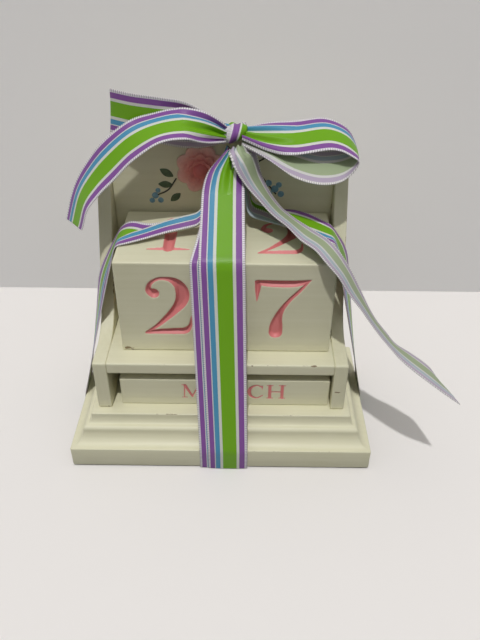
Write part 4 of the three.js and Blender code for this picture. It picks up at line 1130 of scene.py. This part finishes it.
def makeUnderBands():
    # flat runs below the base, right side down: place at both ends, direction across and node
    p = bandPlan
    baseLow, baseHigh = nodeBox("base_plinth")
    x, inner = p["offset"] + p["drift"], p["offset"] + p["innerDrift"] - p["innerShift"]
    runs = {"outer": ((x, baseLow[1], 0.18), (x, baseHigh[1], 0.18), (1, 0, 0), "ribbon_under_length"),
            "inner": ((inner, baseLow[1], 0.42), (inner, baseHigh[1], 0.42), (1, 0, 0),
                      "ribbon_under_length")}
    for label in ("left", "right"):
        low, high = nodeBox("ribbon_under_" + label)
        y = (low[1] + high[1]) / 2
        runs[label] = ((low[0], y, p["foot"]), (high[0], y, p["foot"]), (0, 1, 0), "ribbon_under_" + label)
    made = {}
    for label, (start, end, across, node) in runs.items():
        route = np.array([[*start, *across, 1], [*end, *across, 1]], dtype=float)
        made["under_" + label] = ribbonPiece("band_under_" + label, route, "stand", [node], -1, -1, cup=0.0)
    return made


bow = makeBow()
knot = makeKnot()
bands = makeBands()
underBands = makeUnderBands()
for label, (piece, length) in {**bow, **bands, **underBands}.items():
    print("ribbon", label, round(length, 1), "mm")
print("ribbon tied")

# layers: radius, dip between petals, turn, base and body height off the board, rise of the rim; the tones
# are shares of the way from the deep pink to the pale one
blossomPlan = {"centre": (-12.0, 39.9, 146.0), "petals": 8, "core": 4.6, "coreBase": 3.0, "coreHeight": 3.1,
               "crease": 0.7, "toneFrom": 0.1, "toneSpan": 0.85, "coreTone": 0.12,
               "layers": [(14.0, 2.2, 0.0, 0.1, 1.5, 1.3), (9.6, 1.6, math.pi / 8, 0.8, 1.8, 1.7),
                          (6.4, 0.9, 0.1, 2.0, 1.6, 1.9)]}


def petalPaint():
    # hand-brushed craft paint: matt, deeper pink towards the middle
    material, tree, shader = newMaterial("mattCraftPaint")
    depth = addNode(tree, "Attribute", attribute_name="depth")
    ramp = addNode(tree, "ValToRGB", {0: depth.outputs["Fac"]})
    ramp.color_ramp.elements[0].color = linear("#C9605F")
    ramp.color_ramp.elements[1].color = linear("#F2C4B8")
    ramp.color_ramp.elements.new(0.55).color = linear("#E6958C")
    place = addNode(tree, "TexCoord").outputs["Object"]
    brush = addNode(tree, "TexNoise", {"Vector": place, "Scale": 700.0, "Detail": 3.0})
    shade = addNode(tree, "MapRange", {"Value": brush, "To Min": 0.88, "To Max": 1.08})
    tint = addNode(tree, "VectorMath", {0: ramp, "Scale": shade}, operation="SCALE")
    bump = addNode(tree, "Bump", {"Height": brush, "Strength": 0.3, "Distance": 0.0001})
    plugIn(tree, shader, {"Base Color": tint, "Roughness": 0.6, "Normal": bump})
    return material


def sprigPaint(name, darkTone, paleTone):
    # thin craft paint on the leaves and berries: matt, streaky
    material, tree, shader = newMaterial(name)
    place = addNode(tree, "TexCoord").outputs["Object"]
    brush = addNode(tree, "TexNoise", {"Vector": place, "Scale": 500.0, "Detail": 3.0})
    tint = addNode(tree, "Mix", {0: brush, 6: linear(darkTone), 7: linear(paleTone)}, data_type="RGBA")
    plugIn(tree, shader, {"Base Color": tint, "Roughness": 0.6})
    return material


def makeBlossom():
    # layer: radius R(phi) = R0 - dip (1 - |sin(n phi / 2)|), top rises with the square of the radius share
    # and has a crease down each petal; the rim rolls down to the board
    plan, skins, depth = blossomPlan, [], []
    phi = fullTurn(192)
    widest = plan["layers"][0][0]
    for outer, dip, turn, base, body, rise in plan["layers"]:
        radius = outer - dip * (1 - np.abs(np.sin(plan["petals"] * (phi - turn) / 2)))
        crease = np.abs(np.cos(plan["petals"] * (phi - turn) / 2))
        share = np.concatenate([np.linspace(0.08, 0.94, 16), [0.985, 1.0, 0.975, 0.9, 0.3]])[:, None]
        roll = np.concatenate([np.zeros(16), [0.25, 0.8, 0.95, 1.0, 1.0]])[:, None]
        top = base + body + rise * share ** 2 - plan["crease"] * share * crease
        out = top * (1 - roll) + base * roll
        rings = gridPoints(share * radius * np.cos(phi), -out, share * radius * np.sin(phi))
        skins.append(closedSkin(rings + plan["centre"]))
        tone = np.clip(share * outer / widest * plan["toneSpan"] + plan["toneFrom"], 0, 1)
        tone = np.repeat(tone, len(phi))
        depth.append(np.concatenate([tone, [0.0, tone[-1]]]))
    phiCore = fullTurn(48)
    lat = np.linspace(0.04, 1, 12)[:, None] * math.pi / 2
    radius = plan["core"] * np.sin(lat) * (1 + 0.06 * np.sin(5 * phiCore + 6 * lat))
    out = plan["coreBase"] + plan["coreHeight"] * np.cos(lat)
    rings = gridPoints(radius * np.cos(phiCore), -out, radius * np.sin(phiCore))
    skins.append(closedSkin(rings + plan["centre"]))
    depth.append(np.full(len(skins[-1][0]), plan["coreTone"]))
    points, faces = joinSkins(skins)
    meshPiece("blossomRelief", points, faces, [petalPaint()], "stand", "blossom_paint", ["blossom_applique"],
              values={"depth": np.concatenate(depth)}, sharpAngle=60)


def leafSkin(base, tip, width, boardY, crown):
    # lens outline of half width (w / 2) sin(pi t) ^ 0.8; the face rises with the sine round each section
    t = np.linspace(0.02, 0.98, 16)[:, None]
    around = fullTurn(12)
    base, tip = np.array(base, dtype=float), np.array(tip, dtype=float)
    along = tip - base
    side = unit(np.array([-along[1], along[0]]))
    half = width / 2 * np.sin(math.pi * t) ** 0.8
    lift = crown * np.maximum(np.sin(around), 0) * (0.3 + 0.7 * np.sin(math.pi * t))
    x, z = (base[i] + along[i] * t + side[i] * half * np.cos(around) for i in (0, 1))
    return closedSkin(gridPoints(x, boardY + sprigPlan["sunk"] - lift, z))


def dotSkin(x, z, radius, boardY, crown):
    # low dome: ring radius times the sine of the angle from its top, height times its cosine
    sunk = sprigPlan["sunk"]
    lat = np.linspace(0.05, 1, 7)[:, None] * math.pi / 2
    around = fullTurn(16)
    ring = radius * np.sin(lat)
    return closedSkin(gridPoints(x + ring * np.cos(around), boardY + sunk - crown * np.cos(lat),
                                 z + ring * np.sin(around)))


def stemSkin(points, radius, boardY):
    # round tube along a smooth line in the plane of the board
    table = np.array([(x, 0.0, z, radius) for x, z in points])
    line = smoothLine(table, 10)
    around = fullTurn(8)
    tangent = np.gradient(line[:, :3], axis=0)
    side = np.stack([tangent[:, 2], np.zeros(len(line)), -tangent[:, 0]], -1)
    middle = line[:, :3] + np.array([0, boardY, 0])
    turn = around[None, :, None]
    rings = middle[:, None] + radius * (unit(side)[:, None] * np.cos(turn) - [0, 1, 0] * np.sin(turn))
    return closedSkin(rings)


sprigPlan = {
    "sunk": 0.05, "leafCrown": 0.35, "berryCrown": 0.7, "stemRadius": 0.45,
    "leaves": [((-27.5, 141), (-35, 145.5), 4.6), ((-28, 136), (-36.5, 136.5), 4.4),
               ((-24, 131), (-30, 126), 4.2), ((3, 141), (9.5, 136.5), 4.4), ((6, 150), (14, 153.5), 4.6),
               ((12, 146.5), (20.5, 146.5), 4.0)],
    "stems": [[(2, 146), (10, 148), (19, 150), (27, 155)], [(-26, 140), (-31, 133), (-38, 129.5)],
              [(12, 148.4), (20, 143), (26, 136), (30, 131)]],
    "berries": [(-38.5, 129.5, 2.0), (-35.6, 126.6, 1.7), (-40.5, 126.4, 1.6), (-36.8, 132.6, 1.5),
                (27.5, 155.5, 2.0), (31, 152.5, 1.8), (25.5, 137.5, 2.1), (29.2, 134.0, 2.3),
                (32.8, 131.0, 1.9), (31.5, 136.6, 1.7), (26.5, 131.2, 1.6)],
}


def makeSprigs():
    p, boardY = sprigPlan, nodeBox("back_board")[0][1]
    pieces = {"sprigLeaves": ([leafSkin(a, b, w, boardY, p["leafCrown"]) for a, b, w in p["leaves"]],
                              sprigPaint("greenCraftPaint", "#31402E", "#566B48")),
              "sprigStems": ([stemSkin(points, p["stemRadius"], boardY) for points in p["stems"]],
                             sprigPaint("darkCraftPaint", "#2C2C28", "#4A4C3E")),
              "sprigBerries": ([dotSkin(x, z, r, boardY, p["berryCrown"]) for x, z, r in p["berries"]],
                               sprigPaint("blueCraftPaint", "#4F7F9C", "#8DB4C4"))}
    for name, (skins, material) in pieces.items():
        meshPiece(name, *joinSkins(skins), [material], "stand", "blossom_paint")


makeBlossom()
makeSprigs()
print("blossom and sprigs made")
